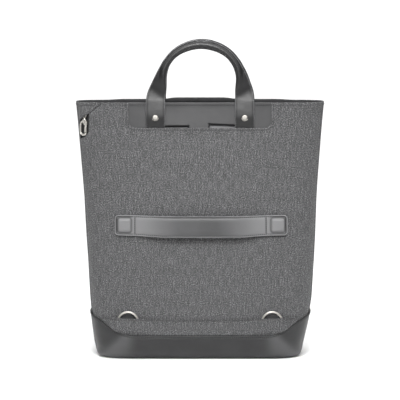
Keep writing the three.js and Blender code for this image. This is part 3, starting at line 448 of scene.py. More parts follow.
# Front panel: the twill wall on the other side, one plain cut with a turned hem along the rim, which
# rises a little in the middle where the handle holds it up.
def front_rim(s):
    x = np.interp(abs(s), quarter_s, quarter_x) * RIM_HALF
    return hem_top + float(1.3 * smooth((150 - x) / 30) + 2.4 * smooth((60 - x) / 22))


def front_out(s, z, edge):
    dip, free = seam_dip(s, z)
    rim = 0.3 * (1 - smooth((edge - 4.6) / 1.2)) * (z > HEIGHT - 12)
    return dip + rim + free * 0.7 * ripple(s, z, 4.0)


front_outline = [(-SEAM + 1, CLOTH_LOW), (SEAM - 1, CLOTH_LOW),
                 *((s, front_rim(s)) for s in np.linspace(SEAM - 1, 1 - SEAM, 60))]
front_panel = sewn_piece("front_panel_cloth", "front", front_outline, front_out, WALL_CLOTH, wall_cloth,
                         spacing=4.5)
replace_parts(front_panel, "front_panel")


# Side panels: narrow twill gussets between the two faces, which fold to a point at the rim. They are
# sewn in with the seam allowance inside, so each long edge dips into its seam.
def gusset_out(s, z, edge):
    away = GUSSET - np.abs(s)
    free = smooth(away / 12) * smooth((z - CLOTH_LOW) / 60)
    return 0.5 * free * ripple(s, z, 7.0) - 0.5 * (1 - smooth(away / 4))


for side in ("left", "right"):
    gusset = sewn_piece(f"side_panel_cloth_{side}", side, upright_cut(GUSSET - 1, hem_top), gusset_out,
                        WALL_CLOTH, wall_cloth)
    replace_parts(gusset, f"side_panel_{side}")


# Lining: the same thin plain-woven polyester in near black. It is sewn in along the rim, lies on the walls
# and the base, and hides their seams inside the bag.
def loop_of(face_points):
    """The four faces' outlines in one loop round the body: strap side, right, front, left."""
    loop = []
    for face, count, half, way in (("strap", 72, SEAM, 1), ("right", 14, GUSSET, 1),
                                   ("front", 72, SEAM, -1), ("left", 14, GUSSET, -1)):
        loop += [(face, s) for s in np.linspace(-half * way, half * way, count, endpoint=False)]
    return [face_points(face, s) for face, s in loop]


def joined(rows, around, first=0, closed=False):
    """Faces between rows of points, each row once round, and the last row to the first if closed."""
    faces = []
    for row in range(rows if closed else rows - 1):
        low, high = first + row * around, first + (row + 1) % rows * around
        faces += [(low + k, low + (k + 1) % around, high + (k + 1) % around, high + k) for k in range(around)]
    return faces


def run_of(line):
    """How long a line of points is up to each of them."""
    return np.concatenate([[0], np.cumsum(np.linalg.norm(np.diff(line, axis=0), axis=1))])


def shell(name, rings, material, **kept):
    """Rings of points, each round the body, joined into one skin, with the first one filled in."""
    around = len(rings[0])
    faces = joined(len(rings), around) + [tuple(range(around - 1, -1, -1))]
    length = run_of(rings[-1])
    uv = [np.stack([length, np.full(around, np.mean(ring, axis=0)[2])], axis=1) for ring in rings]
    return mesh_piece(name, np.concatenate(rings), faces, material, uv=np.concatenate(uv), **kept)


def lining_ring(z, extra, inset=0.0):
    def point(face, s):
        back = pocket_back(s, max(z, CLOTH_LOW)) if face == "strap" else 0
        height = z + (front_rim(s) - hem_top if face == "front" and z > HEIGHT - 9 else 0)
        on_wall = max(height, CLOTH_LOW)
        place = wall(face, s, on_wall, -(back + WALL_CLOTH + GAP + extra + inset))
        return place + [0, 0, (height - on_wall) / 1000]
    return np.array(loop_of(point))


lining_levels = [16, 30, 60, 100, 150, 200, 250, 300, 340, 370, 390, 400, HEIGHT - 1.2]
lining_rings = [lining_ring(2.1, 0.0, 12), lining_ring(5, 0.0, 3), lining_ring(9, 0.0, 0.6)]
lining_rings += [lining_ring(z, 0.0) for z in lining_levels]
inside = [lining_ring(z, 0.9) for z in lining_levels[::-1]]
inside += [lining_ring(9.5, 0.9, 0.6), lining_ring(5.8, 0.9, 3), lining_ring(3, 0.9, 12)]
lining = shell("lining_cloth", lining_rings + inside, lining_material)
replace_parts(lining, "lining")


# Leather base: a tray of smooth cow leather, 1.7 mm thick, moulded at its lower corners and stitched to
# the cloth along its upper edge, which swings down from each side to run low across the faces.
BASE_EDGE = np.array([(0, 38.5), (106, 38.6), (113, 39.2), (119, 40.4), (126, 42.7), (132, 45.2),
                      (138, 48.3), (146, 54.2), (154, 61.4), (160, 65.4), (165, 67.9), (174, 70.6),
                      (190, 71)])
BASE_RADIUS, BASE_GROOVE, BASE_LIP = 12, 3.4, 0.85
CREASE_TOP, CREASE_LOW = np.array([124.0, 33.0]), np.array([157.0, 3.0])


# Full-grain leather dyed through: fine close pores under a half-matt finish. Its cut edges take an edge
# colour that is partly
# real edge paint and partly painted light: a painted highlight where it is paler than the hide, a painted
# shade where it is darker. A painted shade darkens pressed lines, seams and valleys, and a painted highlight
# lightens the leather over a corner's crease and towards the ends of a strap. Pores are 0.2 mm wide and are
# drawn at 1.5 mm to show.
def drum_dyed_leather(name, dark, light, edge_paint_and_light, roughness=0.46, highlight_colour=None):
    grain, relief = 1.5, 0.16
    material, tree, shader = new_material(name, roughness, IOR=1.5)
    cut = node(tree, "ShaderNodeUVMap", uv_map="cut").outputs["UV"]
    pores = node(tree, "ShaderNodeTexVoronoi", {"Vector": cut, "Scale": 1000 / grain, "Randomness": 0.9},
                 voronoi_dimensions="2D", feature="SMOOTH_F1")
    creases = node(tree, "ShaderNodeTexNoise",
                   {"Vector": cut, "Scale": 160.0, "Detail": 5.0, "Roughness": 0.6, "Distortion": 0.6},
                   noise_dimensions="2D")
    cloud = node(tree, "ShaderNodeTexNoise", {"Vector": cut, "Scale": 24.0, "Detail": 3.0},
                 noise_dimensions="2D")
    share = node(tree, "ShaderNodeMapRange",
                 {"Value": cloud.outputs["Fac"], "From Min": 0.35, "From Max": 0.65})
    hide = node(tree, "ShaderNodeMix", {"Factor": share.outputs[0], "A": linear(dark), "B": linear(light)},
                data_type="RGBA")
    if highlight_colour:
        # Painted highlight: the hide is mixed towards a paler colour by this share.
        pull = node(tree, "ShaderNodeAttribute", attribute_name="pull")
        hide = node(tree, "ShaderNodeMix", {"Factor": pull.outputs["Fac"], "A": hide.outputs["Result"],
                                            "B": linear(highlight_colour)}, data_type="RGBA")
    # The edge colour near cut edges: partly edge paint, partly a painted highlight or painted shade on the
    # rounded edge
    border = node(tree, "ShaderNodeAttribute", attribute_name="edge")
    edge_share = node(tree, "ShaderNodeMapRange", {"Value": border.outputs["Fac"], "From Min": 0.2, "From Max": 1.6,
                                             "To Min": 1.0, "To Max": 0.0})
    edge_paint_and_light_share = node(tree, "ShaderNodeMath", {0: edge_share.outputs[0], 1: creases.outputs["Fac"]},
                   operation="MULTIPLY")
    colour = node(tree, "ShaderNodeMix", {"Factor": edge_paint_and_light_share.outputs[0], "A": hide.outputs["Result"],
                                          "B": linear(edge_paint_and_light)}, data_type="RGBA")
    # Painted shade: the colour goes towards near black by this share, in grooves, seams and valleys.
    shade_attribute = node(tree, "ShaderNodeAttribute", attribute_name="hollow")
    depth = node(tree, "ShaderNodeMath", {0: shade_attribute.outputs["Fac"], 1: 0.95}, operation="MULTIPLY",
                 use_clamp=True)
    colour = node(tree, "ShaderNodeMix", {"Factor": depth.outputs[0], "A": colour.outputs["Result"],
                                          "B": linear("#101011")}, data_type="RGBA")
    tree.links.new(colour.outputs["Result"], shader.inputs["Base Color"])
    gloss = node(tree, "ShaderNodeMapRange", {"Value": creases.outputs["Fac"], "To Min": roughness - 0.07,
                                              "To Max": roughness + 0.1})
    tree.links.new(gloss.outputs[0], shader.inputs["Roughness"])
    height = node(tree, "ShaderNodeMath", {0: creases.outputs["Fac"], 1: 0.8, 2: pores.outputs["Distance"]},
                  operation="MULTIPLY_ADD")
    bump = node(tree, "ShaderNodeBump",
                {"Height": height.outputs[0], "Strength": 0.35, "Distance": relief / 1000})
    tree.links.new(bump.outputs[0], shader.inputs["Normal"])
    return material


# The base's paler colour is a painted highlight along each corner's crease. Its edge colour is darker than
# its hide, a painted shade along its rounded edges.
base_leather = drum_dyed_leather("drum_dyed_leather_base", "#1c1c1d", "#232324", "#131314",
                                 highlight_colour="#454546")
LOOP = [("strap", np.linspace(-SEAM, SEAM, 151)[:-1]), ("right", np.linspace(-GUSSET, GUSSET, 29)[:-1]),
        ("front", np.linspace(SEAM, -SEAM, 151)[:-1]), ("left", np.linspace(GUSSET, -GUSSET, 29)[:-1])]


def ring(height, out):
    return np.concatenate([wall(f, s, height(f, s), out(f, s, height(f, s))) for f, s in LOOP])


def base_top(face, s):
    if face in ("left", "right"):
        return np.full(len(s), BASE_EDGE[-1, 1])
    x = np.interp(np.abs(s), quarter_s, quarter_x) * float(at_height(half_width, 50))
    return np.interp(x, BASE_EDGE[:, 0], BASE_EDGE[:, 1])


def from_crease(x, z):
    """How far a point lies to the middle's side of a corner's crease, and its share of the way down it."""
    length = np.linalg.norm(CREASE_LOW - CREASE_TOP)
    way = (CREASE_LOW - CREASE_TOP) / length
    x, z = x - CREASE_TOP[0], z - CREASE_TOP[1]
    return x * way[1] - z * way[0], (x * way[0] + z * way[1]) / length


def base_out(face, s, z):
    """The outer side: a turned upper edge with a stitched groove, and a soft crease down each corner."""
    below = base_top(face, s) - z
    out = 2.1 + 0.7 * (1 - smooth((below - 4.4) / 1.4)) - 0.9 * ridge(below, BASE_GROOVE, 0.8)
    if face in ("strap", "front"):
        x = np.interp(np.abs(s), quarter_s, quarter_x) * at_height(half_width, z)
        off, along = from_crease(x, z)
        fade = smooth(along / 0.25 + 0.4) * smooth((1.25 - along) / 0.3)
        out = out + fade * (2.0 * ridge(off, 0, 7) - 0.8 * ridge(off, -16, 9))
    return out + 0.3 * smooth((z - 4) / 12) * smooth((below - 3) / 8) * ripple(s, z * 2, 9.0)


def base_pull(points):
    """The share of painted highlight: most over the crease of each corner, less towards the middle."""
    x, z = np.abs(points[:, 0]) * 1000, points[:, 2] * 1000
    off, _ = from_crease(x, z)
    return ridge(off, 2, np.where(off < 2, 9, 24)) * smooth((x - 96) / 24) * smooth((168 - x) / 14)


rings = []
for inset in (20, 20 / 3):
    rings.append(ring(lambda f, s: np.zeros(len(s)), lambda f, s, z: 2.0 - BASE_RADIUS - inset))
for turn in np.radians(np.linspace(0, 82, 8)):
    rings.append(ring(lambda f, s: np.full(len(s), BASE_RADIUS * (1 - math.cos(turn))),
                      lambda f, s, z: base_out(f, s, z) - BASE_RADIUS * (1 - math.sin(turn))))
for share in np.linspace(0.02, 1, 34) ** 0.85:
    rings.append(ring(lambda f, s: BASE_RADIUS + (base_top(f, s) - BASE_LIP - BASE_RADIUS) * share,
                      lambda f, s, z: base_out(f, s, z)))
for turn in np.radians((30, 60, 90, 120, 150, 180)):
    rings.append(ring(lambda f, s: base_top(f, s) - BASE_LIP + BASE_LIP * math.sin(turn),
                      lambda f, s, z: 1.3 + 0.98 * math.cos(turn)))
for share in (0.6, 0.0):
    rings.append(ring(lambda f, s: BASE_RADIUS + (base_top(f, s) - BASE_RADIUS) * share, lambda f, s, z: GAP))
rings.append(ring(lambda f, s: np.full(len(s), 5.2), lambda f, s, z: GAP - 3))
rings.append(ring(lambda f, s: np.full(len(s), LEATHER), lambda f, s, z: GAP - BASE_RADIUS + LEATHER))
top_line = np.concatenate([base_top(f, s) for f, s in LOOP])
height_of = np.concatenate(rings)[:, 2] * 1000
near_edge = np.abs(np.tile(top_line, len(rings)) - height_of)
# Painted shade in the stitched groove and along the top edge, where the cloth meets the leather.
hollow = np.maximum(ridge(near_edge, BASE_GROOVE, 0.9), 1 - smooth(near_edge / 1.9)) * (height_of > 30)
base = shell("leather_base_tray", rings, base_leather, slot="bag_leather", edge=near_edge, hollow=hollow,
             pull=base_pull(np.concatenate(rings)))
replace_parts(base, "leather_base")


# Stitching: bonded polyester thread in lockstitch. Each stitch is a short arched capsule that dives into its
# needle holes, drawn from thread twice as thick as the real 0.6 mm so that it shows.
STITCH_APART, STITCH_LONG, THREAD = 3.2, 2.3, 0.6
# Along a stitch: the share of its length from its middle, how full the thread is, how far it rises
STITCH_ROWS = [(-0.5, 0.25, -0.25), (-0.38, 0.8, 0.1), (0, 1.0, 0.35), (0.38, 0.8, 0.1), (0.5, 0.25, -0.25)]


def bonded_thread(name, colour, light):
    """Smooth bonded plies twisted together: half matt, and a little uneven in colour."""
    material, tree, shader = new_material(name, 0.55, Sheen_Weight=0.1, IOR=1.5)
    place = node(tree, "ShaderNodeTexCoord").outputs["Object"]
    plies = node(tree, "ShaderNodeTexNoise", {"Vector": place, "Scale": 900.0, "Detail": 1.0})
    shade = node(tree, "ShaderNodeMix",
                 {"Factor": plies.outputs["Fac"], "A": linear(colour), "B": linear(light)}, data_type="RGBA")
    tree.links.new(shade.outputs["Result"], shader.inputs["Base Color"])
    return material


dark_thread = bonded_thread("bonded_polyester_thread", "#141415", "#29292b")


def along_run(place, run, line):
    """The point of a line, or its direction there, at a length along it."""
    return np.array([np.interp(place, run, line[:, k]) for k in range(3)])


def stitches(name, lines, slot="webbing"):
    points, faces, spin = [], [], 6
    for line, normals in lines:
        line, normals = np.asarray(line) * 1000, np.asarray(normals)
        run = run_of(line)
        for place in np.arange(STITCH_APART / 2, run[-1], STITCH_APART):
            at, up = along_run(place, run, line), unit(along_run(place, run, normals))
            ahead = unit(along_run(place + 0.3, run, line) - along_run(place - 0.3, run, line))
            side = np.cross(up, ahead)
            first = len(points)
            for along, wide, rise in STITCH_ROWS:
                for t in np.linspace(0, 2 * math.pi, spin, endpoint=False):
                    points.append((at + ahead * along * STITCH_LONG + side * math.cos(t) * THREAD * wide
                                   + up * (math.sin(t) * wide + rise) * THREAD) / 1000)
            faces += joined(len(STITCH_ROWS), spin, first)
            faces.append(tuple(first + k for k in range(spin - 1, -1, -1)))
            faces.append(tuple(len(points) - spin + k for k in range(spin)))
    return mesh_piece(name, points, faces, dark_thread, slot=slot)


def wall_line(face, corners, out):
    """A line on the body through (s, z) corners, with its outward directions, at the distance out(s, z)."""
    corners, step = np.asarray(corners, float), 2.0
    run = run_of(corners)
    spots = np.linspace(0, run[-1], max(2, int(run[-1] / step)))
    s, z = np.interp(spots, run, corners[:, 0]), np.interp(spots, run, corners[:, 1])
    return wall(face, s, z, out(s, z)), outwards(face, s, z)


base_lines = []
for face, s_values in LOOP:
    s = np.append(s_values, -s_values[0])
    z = base_top(face, s) - BASE_GROOVE
    base_lines.append((wall(face, s, z, base_out(face, s, z) + 0.1), outwards(face, s, z)))
stitches("base_stitching", base_lines)


# Lower band: a strip of the same twill above the leather, folded over and stitched along its top. The
# D-rings' lower halves and their webbing lie under it and push it out a little.
BAND_END, BAND_MIDDLE, RING_X = 68.0, 65.0, 114


def band_top(x):
    return BAND_MIDDLE + (BAND_END - BAND_MIDDLE) * (x / 163) ** 2


def band_out(s, z, edge):
    near = smooth(2.05 - np.abs(np.abs(seen_x(s, z)) - RING_X) / 15)
    lift = 4.7 * near * smooth((z - 37) / 10)
    top = BAND_END - 1.5 - z
    fold = 0.5 * (1 - smooth((top - 3.2) / 1.2)) - 0.6 * ridge(top, 2.6, 0.9)
    return 1.75 + lift + fold * (1 - near * 0.5) + 0.12 * ripple(s, z * 3, 3.0)


band_low = [(x, float(np.interp(abs(x), BASE_EDGE[:, 0], BASE_EDGE[:, 1])) + 0.25)
            for x in np.arange(-156, 157, 4)]
band_high = [(x, float(band_top(x))) for x in np.arange(156, -157, -4)]
band = sewn_piece("lower_band_cloth", "strap", flat_line(band_low + band_high), band_out, 1.3, wall_cloth,
                  spacing=2.6, rounding=0.8)
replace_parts(band, "lower_band")
band_seam = [(x, float(band_top(x)) - 2.3) for x in np.arange(-154, 155, 3)]
stitches("band_stitching", [wall_line("strap", flat_line(band_seam),
                                      lambda s, z: band_out(s, z, WELL_IN) + 0.05)])


# D-rings: drawn nickel-plated steel wire, bent to a D and welded, each with its straight bar in a loop of
# webbing that is sewn into the wall under the band. The metal is bright, with a faint haze from handling.
RING_Z, RING_RADIUS, WIRE, RING_LEG, RING_BEND, RING_OUT = 60.2, 16.2, 3.4, 4, 3, 3.1


def nickel_plate(name, colour, roughness):
    material, tree, shader = new_material(name, roughness, metallic=1.0)
    place = node(tree, "ShaderNodeTexCoord").outputs["Object"]
    haze = node(tree, "ShaderNodeTexNoise", {"Vector": place, "Scale": 350.0, "Detail": 4.0})
    shade = node(tree, "ShaderNodeMix",
                 {"Factor": haze.outputs["Fac"], "A": linear("#bdbab4"), "B": linear(colour)},
                 data_type="RGBA")
    tree.links.new(shade.outputs["Result"], shader.inputs["Base Color"])
    gloss = node(tree, "ShaderNodeMapRange", {"Value": haze.outputs["Fac"], "To Min": roughness - 0.05,
                                              "To Max": roughness + 0.12})
    tree.links.new(gloss.outputs[0], shader.inputs["Roughness"])
    return material


nickel = nickel_plate("polished_nickel_plate", "#cfccc6", 0.3)
# Polyester webbing: thicker threads than the lining's, so its weave shows
webbing = plain_woven("polyester_webbing", "#19191a", "#333335", 0.8, 1.6, sheen=0.15)


def seat(face, x, z, out):
    """A spot on a face with its directions: place, right, up and outward."""
    s = float(across_at(x, z))
    place, away = wall(face, s, z, out), outwards(face, s, z)
    up = wall(face, s, z + 3, out) - wall(face, s, z - 3, out)
    up = unit(up - away * (up @ away))
    return place, np.cross(up, away), up, away


def bent_wire(name, path, radius, facing, spin):
    """Round wire along a closed path in metres, in a plane that faces one way."""
    ahead = unit(np.roll(path, -1, axis=0) - np.roll(path, 1, axis=0))
    side = unit(np.cross(ahead, facing))
    points = [p + radius / 1000 * (math.cos(t) * n + math.sin(t) * facing) for p, n in zip(path, side)
              for t in np.linspace(0, 2 * math.pi, spin, endpoint=False)]
    return mesh_piece(name, points, joined(len(path), spin, closed=True), nickel, slot="nickel")


def webbing_strip(name, bar, right, up, away, strip, half):
    """Webbing 0.7 mm thick along a line that is drawn outwards and up from a bar."""
    places, layers = np.linspace(-half, half, 9), []
    for thick in (-0.35, 0.35):
        for k, (a, b) in enumerate(strip):
            step = np.array(strip[min(k + 1, len(strip) - 1)]) - np.array(strip[max(k - 1, 0)])
            off = np.array([-step[1], step[0]]) / np.linalg.norm(step) * thick
            middle = away * (a + off[0]) + up * (b + off[1])
            layers.append([bar + (right * w + middle) / 1000 for w in places])
    count, wide = len(strip), len(places)
    faces = []
    for k in range(count - 1):
        for w in range(wide - 1):
            a, b = k * wide + w, (count + k) * wide + w
            faces += [(a, a + 1, a + wide + 1, a + wide), (b, b + wide, b + wide + 1, b + 1)]
        for w, way in ((0, 1), (wide - 1, -1)):
            a, b = k * wide + w, (count + k) * wide + w
            faces.append((a, a + wide, b + wide, b)[::way])
    for w in range(wide - 1):
        a, b = w, count * wide + w
        faces.append((a, b, b + 1, a + 1))
        a, b = (count - 1) * wide + w, (2 * count - 1) * wide + w
        faces.append((a, a + 1, b + 1, b))
    uv = [(w / 1000, (k % count) * 2.4 / 1000) for k in range(2 * count) for w in places]
    return mesh_piece(name, [p for row in layers for p in row], faces, webbing, slot="webbing", uv=uv)


d_line = arc((0, 0), RING_RADIUS, 0, 180, 40)
d_line += arc((RING_BEND - RING_RADIUS, RING_BEND - RING_LEG), RING_BEND, 180, 270, 8)
d_line += arc((RING_RADIUS - RING_BEND, RING_BEND - RING_LEG), RING_BEND, 270, 360, 8)
for word, side in (("left", -1), ("right", 1)):
    place, right, up, away = seat("strap", side * RING_X, RING_Z, RING_OUT)
    d_path = [place + (right * a + up * b) / 1000 for a, b in d_line]
    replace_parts(bent_wire(f"d_ring_wire_{word}", d_path, WIRE / 2, away, 16), f"d_ring_{word}")
    bar = place - up * RING_LEG / 1000
    strip = [(-2.2, 14.6), (-2.2, 8), (-2.2, 2), *arc((0, 0), 2.35, 185, 420, 12)]
    tab = webbing_strip(f"d_ring_webbing_{word}", bar, right, up, away, strip, 11.2)
    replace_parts(tab, f"d_ring_loop_{word}")


# Shoulder straps: foam pads in a thin leather cover, stowed flat in the pocket. Only their rounded upper
# ends show, in the two slots under the handle patch. Split leather with a smooth coat is a little paler and
# duller than the full-grain pieces.
# Its paler edge colour is partly edge paint, partly a painted highlight along the rounded edges.
strap_leather = drum_dyed_leather("coated_split_leather_straps", "#454547", "#505052", "#5c5c5e",
                                  roughness=0.5)
# Each strap's left and right edge, and how high its top is at them
STRAP_TOPS = {"left": (-66, -18.2, 368.2, 368.4), "right": (14.6, 64.5, 371.2, 369.2)}
STRAP_BOTTOM = 109.4
for word, (x0, x1, top0, top1) in STRAP_TOPS.items():
    low = STRAP_BOTTOM
    outline = [(x0 + 2, low), (x1 - 2, low), (x1, low + 2), (x1, top1 - 2), (x1 - 2, top1), (x0 + 2, top0),
               (x0, top0 - 2), (x0, low + 2)]
    pad = sewn_piece(f"stowed_strap_{word}", "strap", flat_line(outline),
                     lambda s, z, edge: -2.3 + 0.25 * ripple(s, z, 5.0), 5.0, strap_leather, spacing=6.0,
                     rounding=2.4, slot="bag_leather")
    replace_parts(pad, f"shoulder_strap_{word}")


# Handle patch: one leather piece behind the handle, sewn in under the window's hem. Its lower edge is
# cut up over each stowed strap, which leaves a dark slot.
# Its paler edge colour is partly edge paint, partly a painted highlight along the rounded edges.
patch_leather = drum_dyed_leather("drum_dyed_leather_patch", "#303031", "#373738", "#4c4c4d", roughness=0.5)
PATCH_UNDER = 6
patch_half, patch_low = WINDOW_HALF + PATCH_UNDER, WINDOW_LOW - PATCH_UNDER
slot_left = [(-68, patch_low), (-68, 370.8), (-17.4, 371.0), (-17.0, patch_low)]
slot_right = [(13.4, patch_low), (13.6, 374.2), (66.5, 371.9), (67, patch_low)]
patch_outline = [(patch_half, hem_top), (-patch_half, hem_top), (-patch_half, WINDOW_LOW + 4),
                 (-WINDOW_HALF + 4, patch_low), *slot_left, *slot_right, (WINDOW_HALF - 4, patch_low),
                 (patch_half, WINDOW_LOW + 4)]


def patch_out(s, z, edge):
    hem = 0.3 * (z > 400) * (1 - smooth((edge - 3) / 2))
    return -2.15 + hem + 0.25 * ripple(s * 1.5, z * 2, 6.0)


patch = sewn_piece("handle_patch_leather", "strap", flat_line(patch_outline), patch_out, LEATHER - 0.1,
                   patch_leather, spacing=3.0, rounding=0.7, slot="bag_leather")
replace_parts(patch, "handle_patch")
stitches("window_stitching", [wall_line("strap", flat_line(window_line(3.6, hem_top - 1.5)),
                                        lambda s, z: strap_side_out(s, z, WELL_IN) + 0.05)])


# Handles: leather folded round a cord core. Each runs as a round grip with a thin sewn flange along its
# outer edge and opens out, with a crease, into two flat legs that are stitched down both edges.
LEG_X, GRIP_TOP, GRIP_LEAN = 71, 92, 1.7
HANDLE_ROWS = np.array([
    # height above the rim, distance from the middle, width, how far the leather is closed round its core
    (-39.6, 71, 30.2, 0), (-32, 71, 31.1, 0), (-24.8, 71, 31.3, 0), (-14, 71, 31.2, 0), (-5, 71, 31, 0),
    (1.5, 70.8, 30.6, 0), (6.7, 70.5, 30, 0), (13, 69.6, 28.8, 0), (19.5, 68.3, 26.8, 0.1),
    (25.8, 67.1, 24.2, 0.36), (32.4, 65.9, 21.3, 0.64), (38.8, 64.4, 18.6, 0.85), (45.3, 62.4, 16.3, 0.95),
    (51.8, 59.8, 14.5, 1), (58.3, 56.8, 13.4, 1), (64.7, 52.6, 12.7, 1), (71, 47.6, 12.5, 1),
    (77, 41, 12.8, 1), (83, 31.4, 13.6, 1), (87.4, 20.5, 14.4, 1), (90, 10, 14.9, 1), (90.8, 0, 15, 1),
])
# Its edge colour is far paler than its hide: partly edge paint, partly a painted highlight along the rounded
# edges.
handle_leather = drum_dyed_leather("drum_dyed_leather_handle", "#121213", "#171718", "#7c7c7e",
                                   roughness=0.38)


def threaded(knots, values, places):
    """A smooth curve through rows of values."""
    slopes = np.gradient(values, knots, axis=0)
    k = np.clip(np.searchsorted(knots, places) - 1, 0, len(knots) - 2)
    h = (knots[k + 1] - knots[k])[:, None]
    t = (places - knots[k])[:, None] / h
    return ((1 + 2 * t) * (1 - t) ** 2 * values[k] + t * (1 - t) ** 2 * h * slopes[k]
            + t * t * (3 - 2 * t) * values[k + 1] + t * t * (t - 1) * h * slopes[k + 1])


def handle(word, face, middle_out, top_y, shift):
    """A handle on a face: middle_out from the wall at its legs, top_y from the bag's middle at its top."""
    side = 1 if face == "front" else -1
    stations = []
    at_rim = wall(face, LEG_X, HEIGHT, middle_out)[1] * 1000
    for rise, reach, width, closed in HANDLE_ROWS:
        low = 1.4 * (1 - smooth((rise + 39) / 13)) if face == "strap" else 0
        if rise < 0:
            y = wall(face, reach, HEIGHT + rise, middle_out - low)[1] * 1000
        else:
            y = at_rim + (MID_Y + side * top_y - at_rim) * rise / GRIP_TOP
        y -= side * (2.2 * smooth((rise + 14) / 26) - 3.8 * smooth((rise - 6) / 32))
        thickness = 3.1 - 0.9 * min(low, 1)
        stations.append((reach, y, HEIGHT + rise, width, closed, thickness))
    leaning = shift + GRIP_LEAN * smooth(2 * HANDLE_ROWS[:, 0] / GRIP_TOP)
    left, right = np.array(stations), np.array(stations)
    left[:, 0] = leaning - left[:, 0]
    right[:, 0] = leaning + right[:, 0]
    rows = np.concatenate([left, right[-2::-1]])
    run = run_of(rows[:, :3])
    places = np.linspace(0, run[-1], 190)
    fine = threaded(run, rows, places)
    centre, width, closed, thickness = fine[:, :3], fine[:, 3], np.clip(fine[:, 4], 0, 1), fine[:, 5]
    ahead = unit(np.gradient(centre, axis=0))
    facing = unit(np.array([0.0, side, 0.0]) - ahead * (ahead[:, 1:2] * side))
    outer = np.cross(facing, ahead)
    outer = outer if outer[0, 0] < 0 else -outer

    half = 24
    spread = -np.cos(np.linspace(0, math.pi, half + 1))
    points, uv, edge_reach = [], [], []

    def height(k, across):
        """Half the thickness at a distance across a section, positive towards the outer edge."""
        w, c, slab = width[k], closed[k], thickness[k] / 2
        grip = 2.2 + (min(6.1, (w - 2.1) / 2) - 2.2) * c
        tube = 6.3 * c**0.6 * np.sqrt(np.clip(1 - ((across + w / 2 - grip) / grip) ** 2, 0, 1))
        from_edge = w / 2 - np.abs(across)
        flat = slab * np.sqrt(np.clip(1 - (1 - np.clip(from_edge / 1.3, 0, 1)) ** 2, 0, 1))
        seam = np.where(across > 0, 1.0, 1 - smooth(c * 5)) * 0.55
        flat = flat - seam * ridge(from_edge, 2.4 - 0.9 * c, 0.55)
        return (np.clip(tube, 0, None) ** 9 + np.clip(flat, 0, None) ** 9) ** (1 / 9)

    def wing(k, across):
        """How far the open leather is drawn back from the grip towards its outer edge."""
        start, opened = width[k] * (closed[k] * 0.5 - 0.35), smooth((centre[k, 2] - HEIGHT) / 34)
        return -0.3 * opened * np.clip(across - start, 0, None) * np.clip((width[k] - 12.5) / 12, 0, 1)

    for k in range(len(places)):
        across = spread * width[k] / 2
        thick, drawn = height(k, across), wing(k, across)
        order = list(range(half + 1)) + list(range(half - 1, 0, -1))
        for n, a in enumerate(order):
            sign = 1 if n <= half else -1
            points.append(centre[k] + outer[k] * across[a] + facing[k] * (sign * thick[a] + drawn[a]))
            uv.append((places[k] / 1000, (across[a] + sign * thick[a] * 0.6) / 1000))
            hidden = 8 * closed[k] if across[a] <= 0 else 0
            edge_reach.append(width[k] / 2 - abs(across[a]) + hidden)
    around = 2 * half
    faces = joined(len(places), around)
    faces.append(tuple(range(around - 1, -1, -1)))
    faces.append(tuple((len(places) - 1) * around + n for n in range(around)))
    if side < 0:
        faces = [f[::-1] for f in faces]
    piece = mesh_piece(f"handle_leather_{word}", np.array(points) / 1000, faces, handle_leather,
                       slot="bag_leather", uv=uv, edge=edge_reach)
    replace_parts(piece, f"handle_{word}")

    def seam_line(along, edge, turn):
        """A seam near the outer (1) or inner (-1) edge, on the visible (1) or the wall's (-1) side."""
        spots, ways = [], []
        for k in np.flatnonzero(along):
            offset = np.array([(width[k] / 2 - 2.4 + 0.9 * closed[k]) * edge])
            lift = turn * (height(k, offset) + 0.12) + wing(k, offset)
            spots.append((centre[k] + outer[k] * offset + facing[k] * lift) / 1000)
            ways.append(facing[k] * turn)
        return np.array(spots), np.array(ways)

    high = centre[:, 2]
    open_part = high < HEIGHT + 17
    free = high > HEIGHT + 2
    lines = [seam_line(high > 0, 1, 1), seam_line(free, 1, -1)]
    first_half = np.arange(len(places)) < len(places) // 2
    for leg in (first_half, ~first_half):
        lines += [seam_line(leg & open_part, -1, 1), seam_line(leg & free & open_part, -1, -1)]
    stitches(f"handle_stitching_{word}", lines, slot="bag_leather")


FRONT_SHIFT = 1.2
handle("back", "strap", 0.9, 7.3, 0.0)
handle("front", "front", 2.6, 7.3, FRONT_SHIFT)


# Rivets: domed caps of nickel-plated brass with a satin finish, each pressed on over a thin washer, which
# hold the legs down.
def turned(name, profile, place, away, right, up, plated, spin=40):
    """A turned piece: (radius, height) from the middle of its underside to the middle of its top."""
    points = [place + away * profile[0][1] / 1000]
    for radius, rise in profile[1:-1]:
        points += [place + (away * rise + (right * math.cos(t) + up * math.sin(t)) * radius) / 1000
                   for t in np.linspace(0, 2 * math.pi, spin, endpoint=False)]
    points.append(place + away * profile[-1][1] / 1000)
    top, last = len(points) - 1, len(points) - 1 - spin
    faces = joined(len(profile) - 2, spin, 1)
    for k in range(spin):
        m = (k + 1) % spin
        faces += [(0, 1 + m, 1 + k), (last + k, last + m, top)]
    return mesh_piece(name, points, faces, plated, slot="nickel")


satin_nickel = nickel_plate("satin_nickel_plate", "#6a6864", 0.45)
CAP = [(0, -0.1), (5.25, -0.1), (5.35, 0), (5.3, 0.12), (5.05, 0.16), (4.8, 0.1), (4.62, 0), (4.58, 0.5),
       (4.5, 0.95), (4.3, 1.25), (3.95, 1.45), (3.5, 1.55), (2.6, 1.62), (1.3, 1.66), (0, 1.67)]
RIVET_Z = HEIGHT - 24.8
for face, word, out, shift in (("strap", "back", 2.15, 0), ("front", "front", 3.95, FRONT_SHIFT)):
    for side_word, side in (("left", -1), ("right", 1)):
        place, right, up, away = seat(face, side * LEG_X + shift, RIVET_Z, out)
        cap = turned(f"rivet_cap_{word}_{side_word}", CAP, place, away, right, up, satin_nickel)
        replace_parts(cap, f"rivet_{word}_{side_word}")


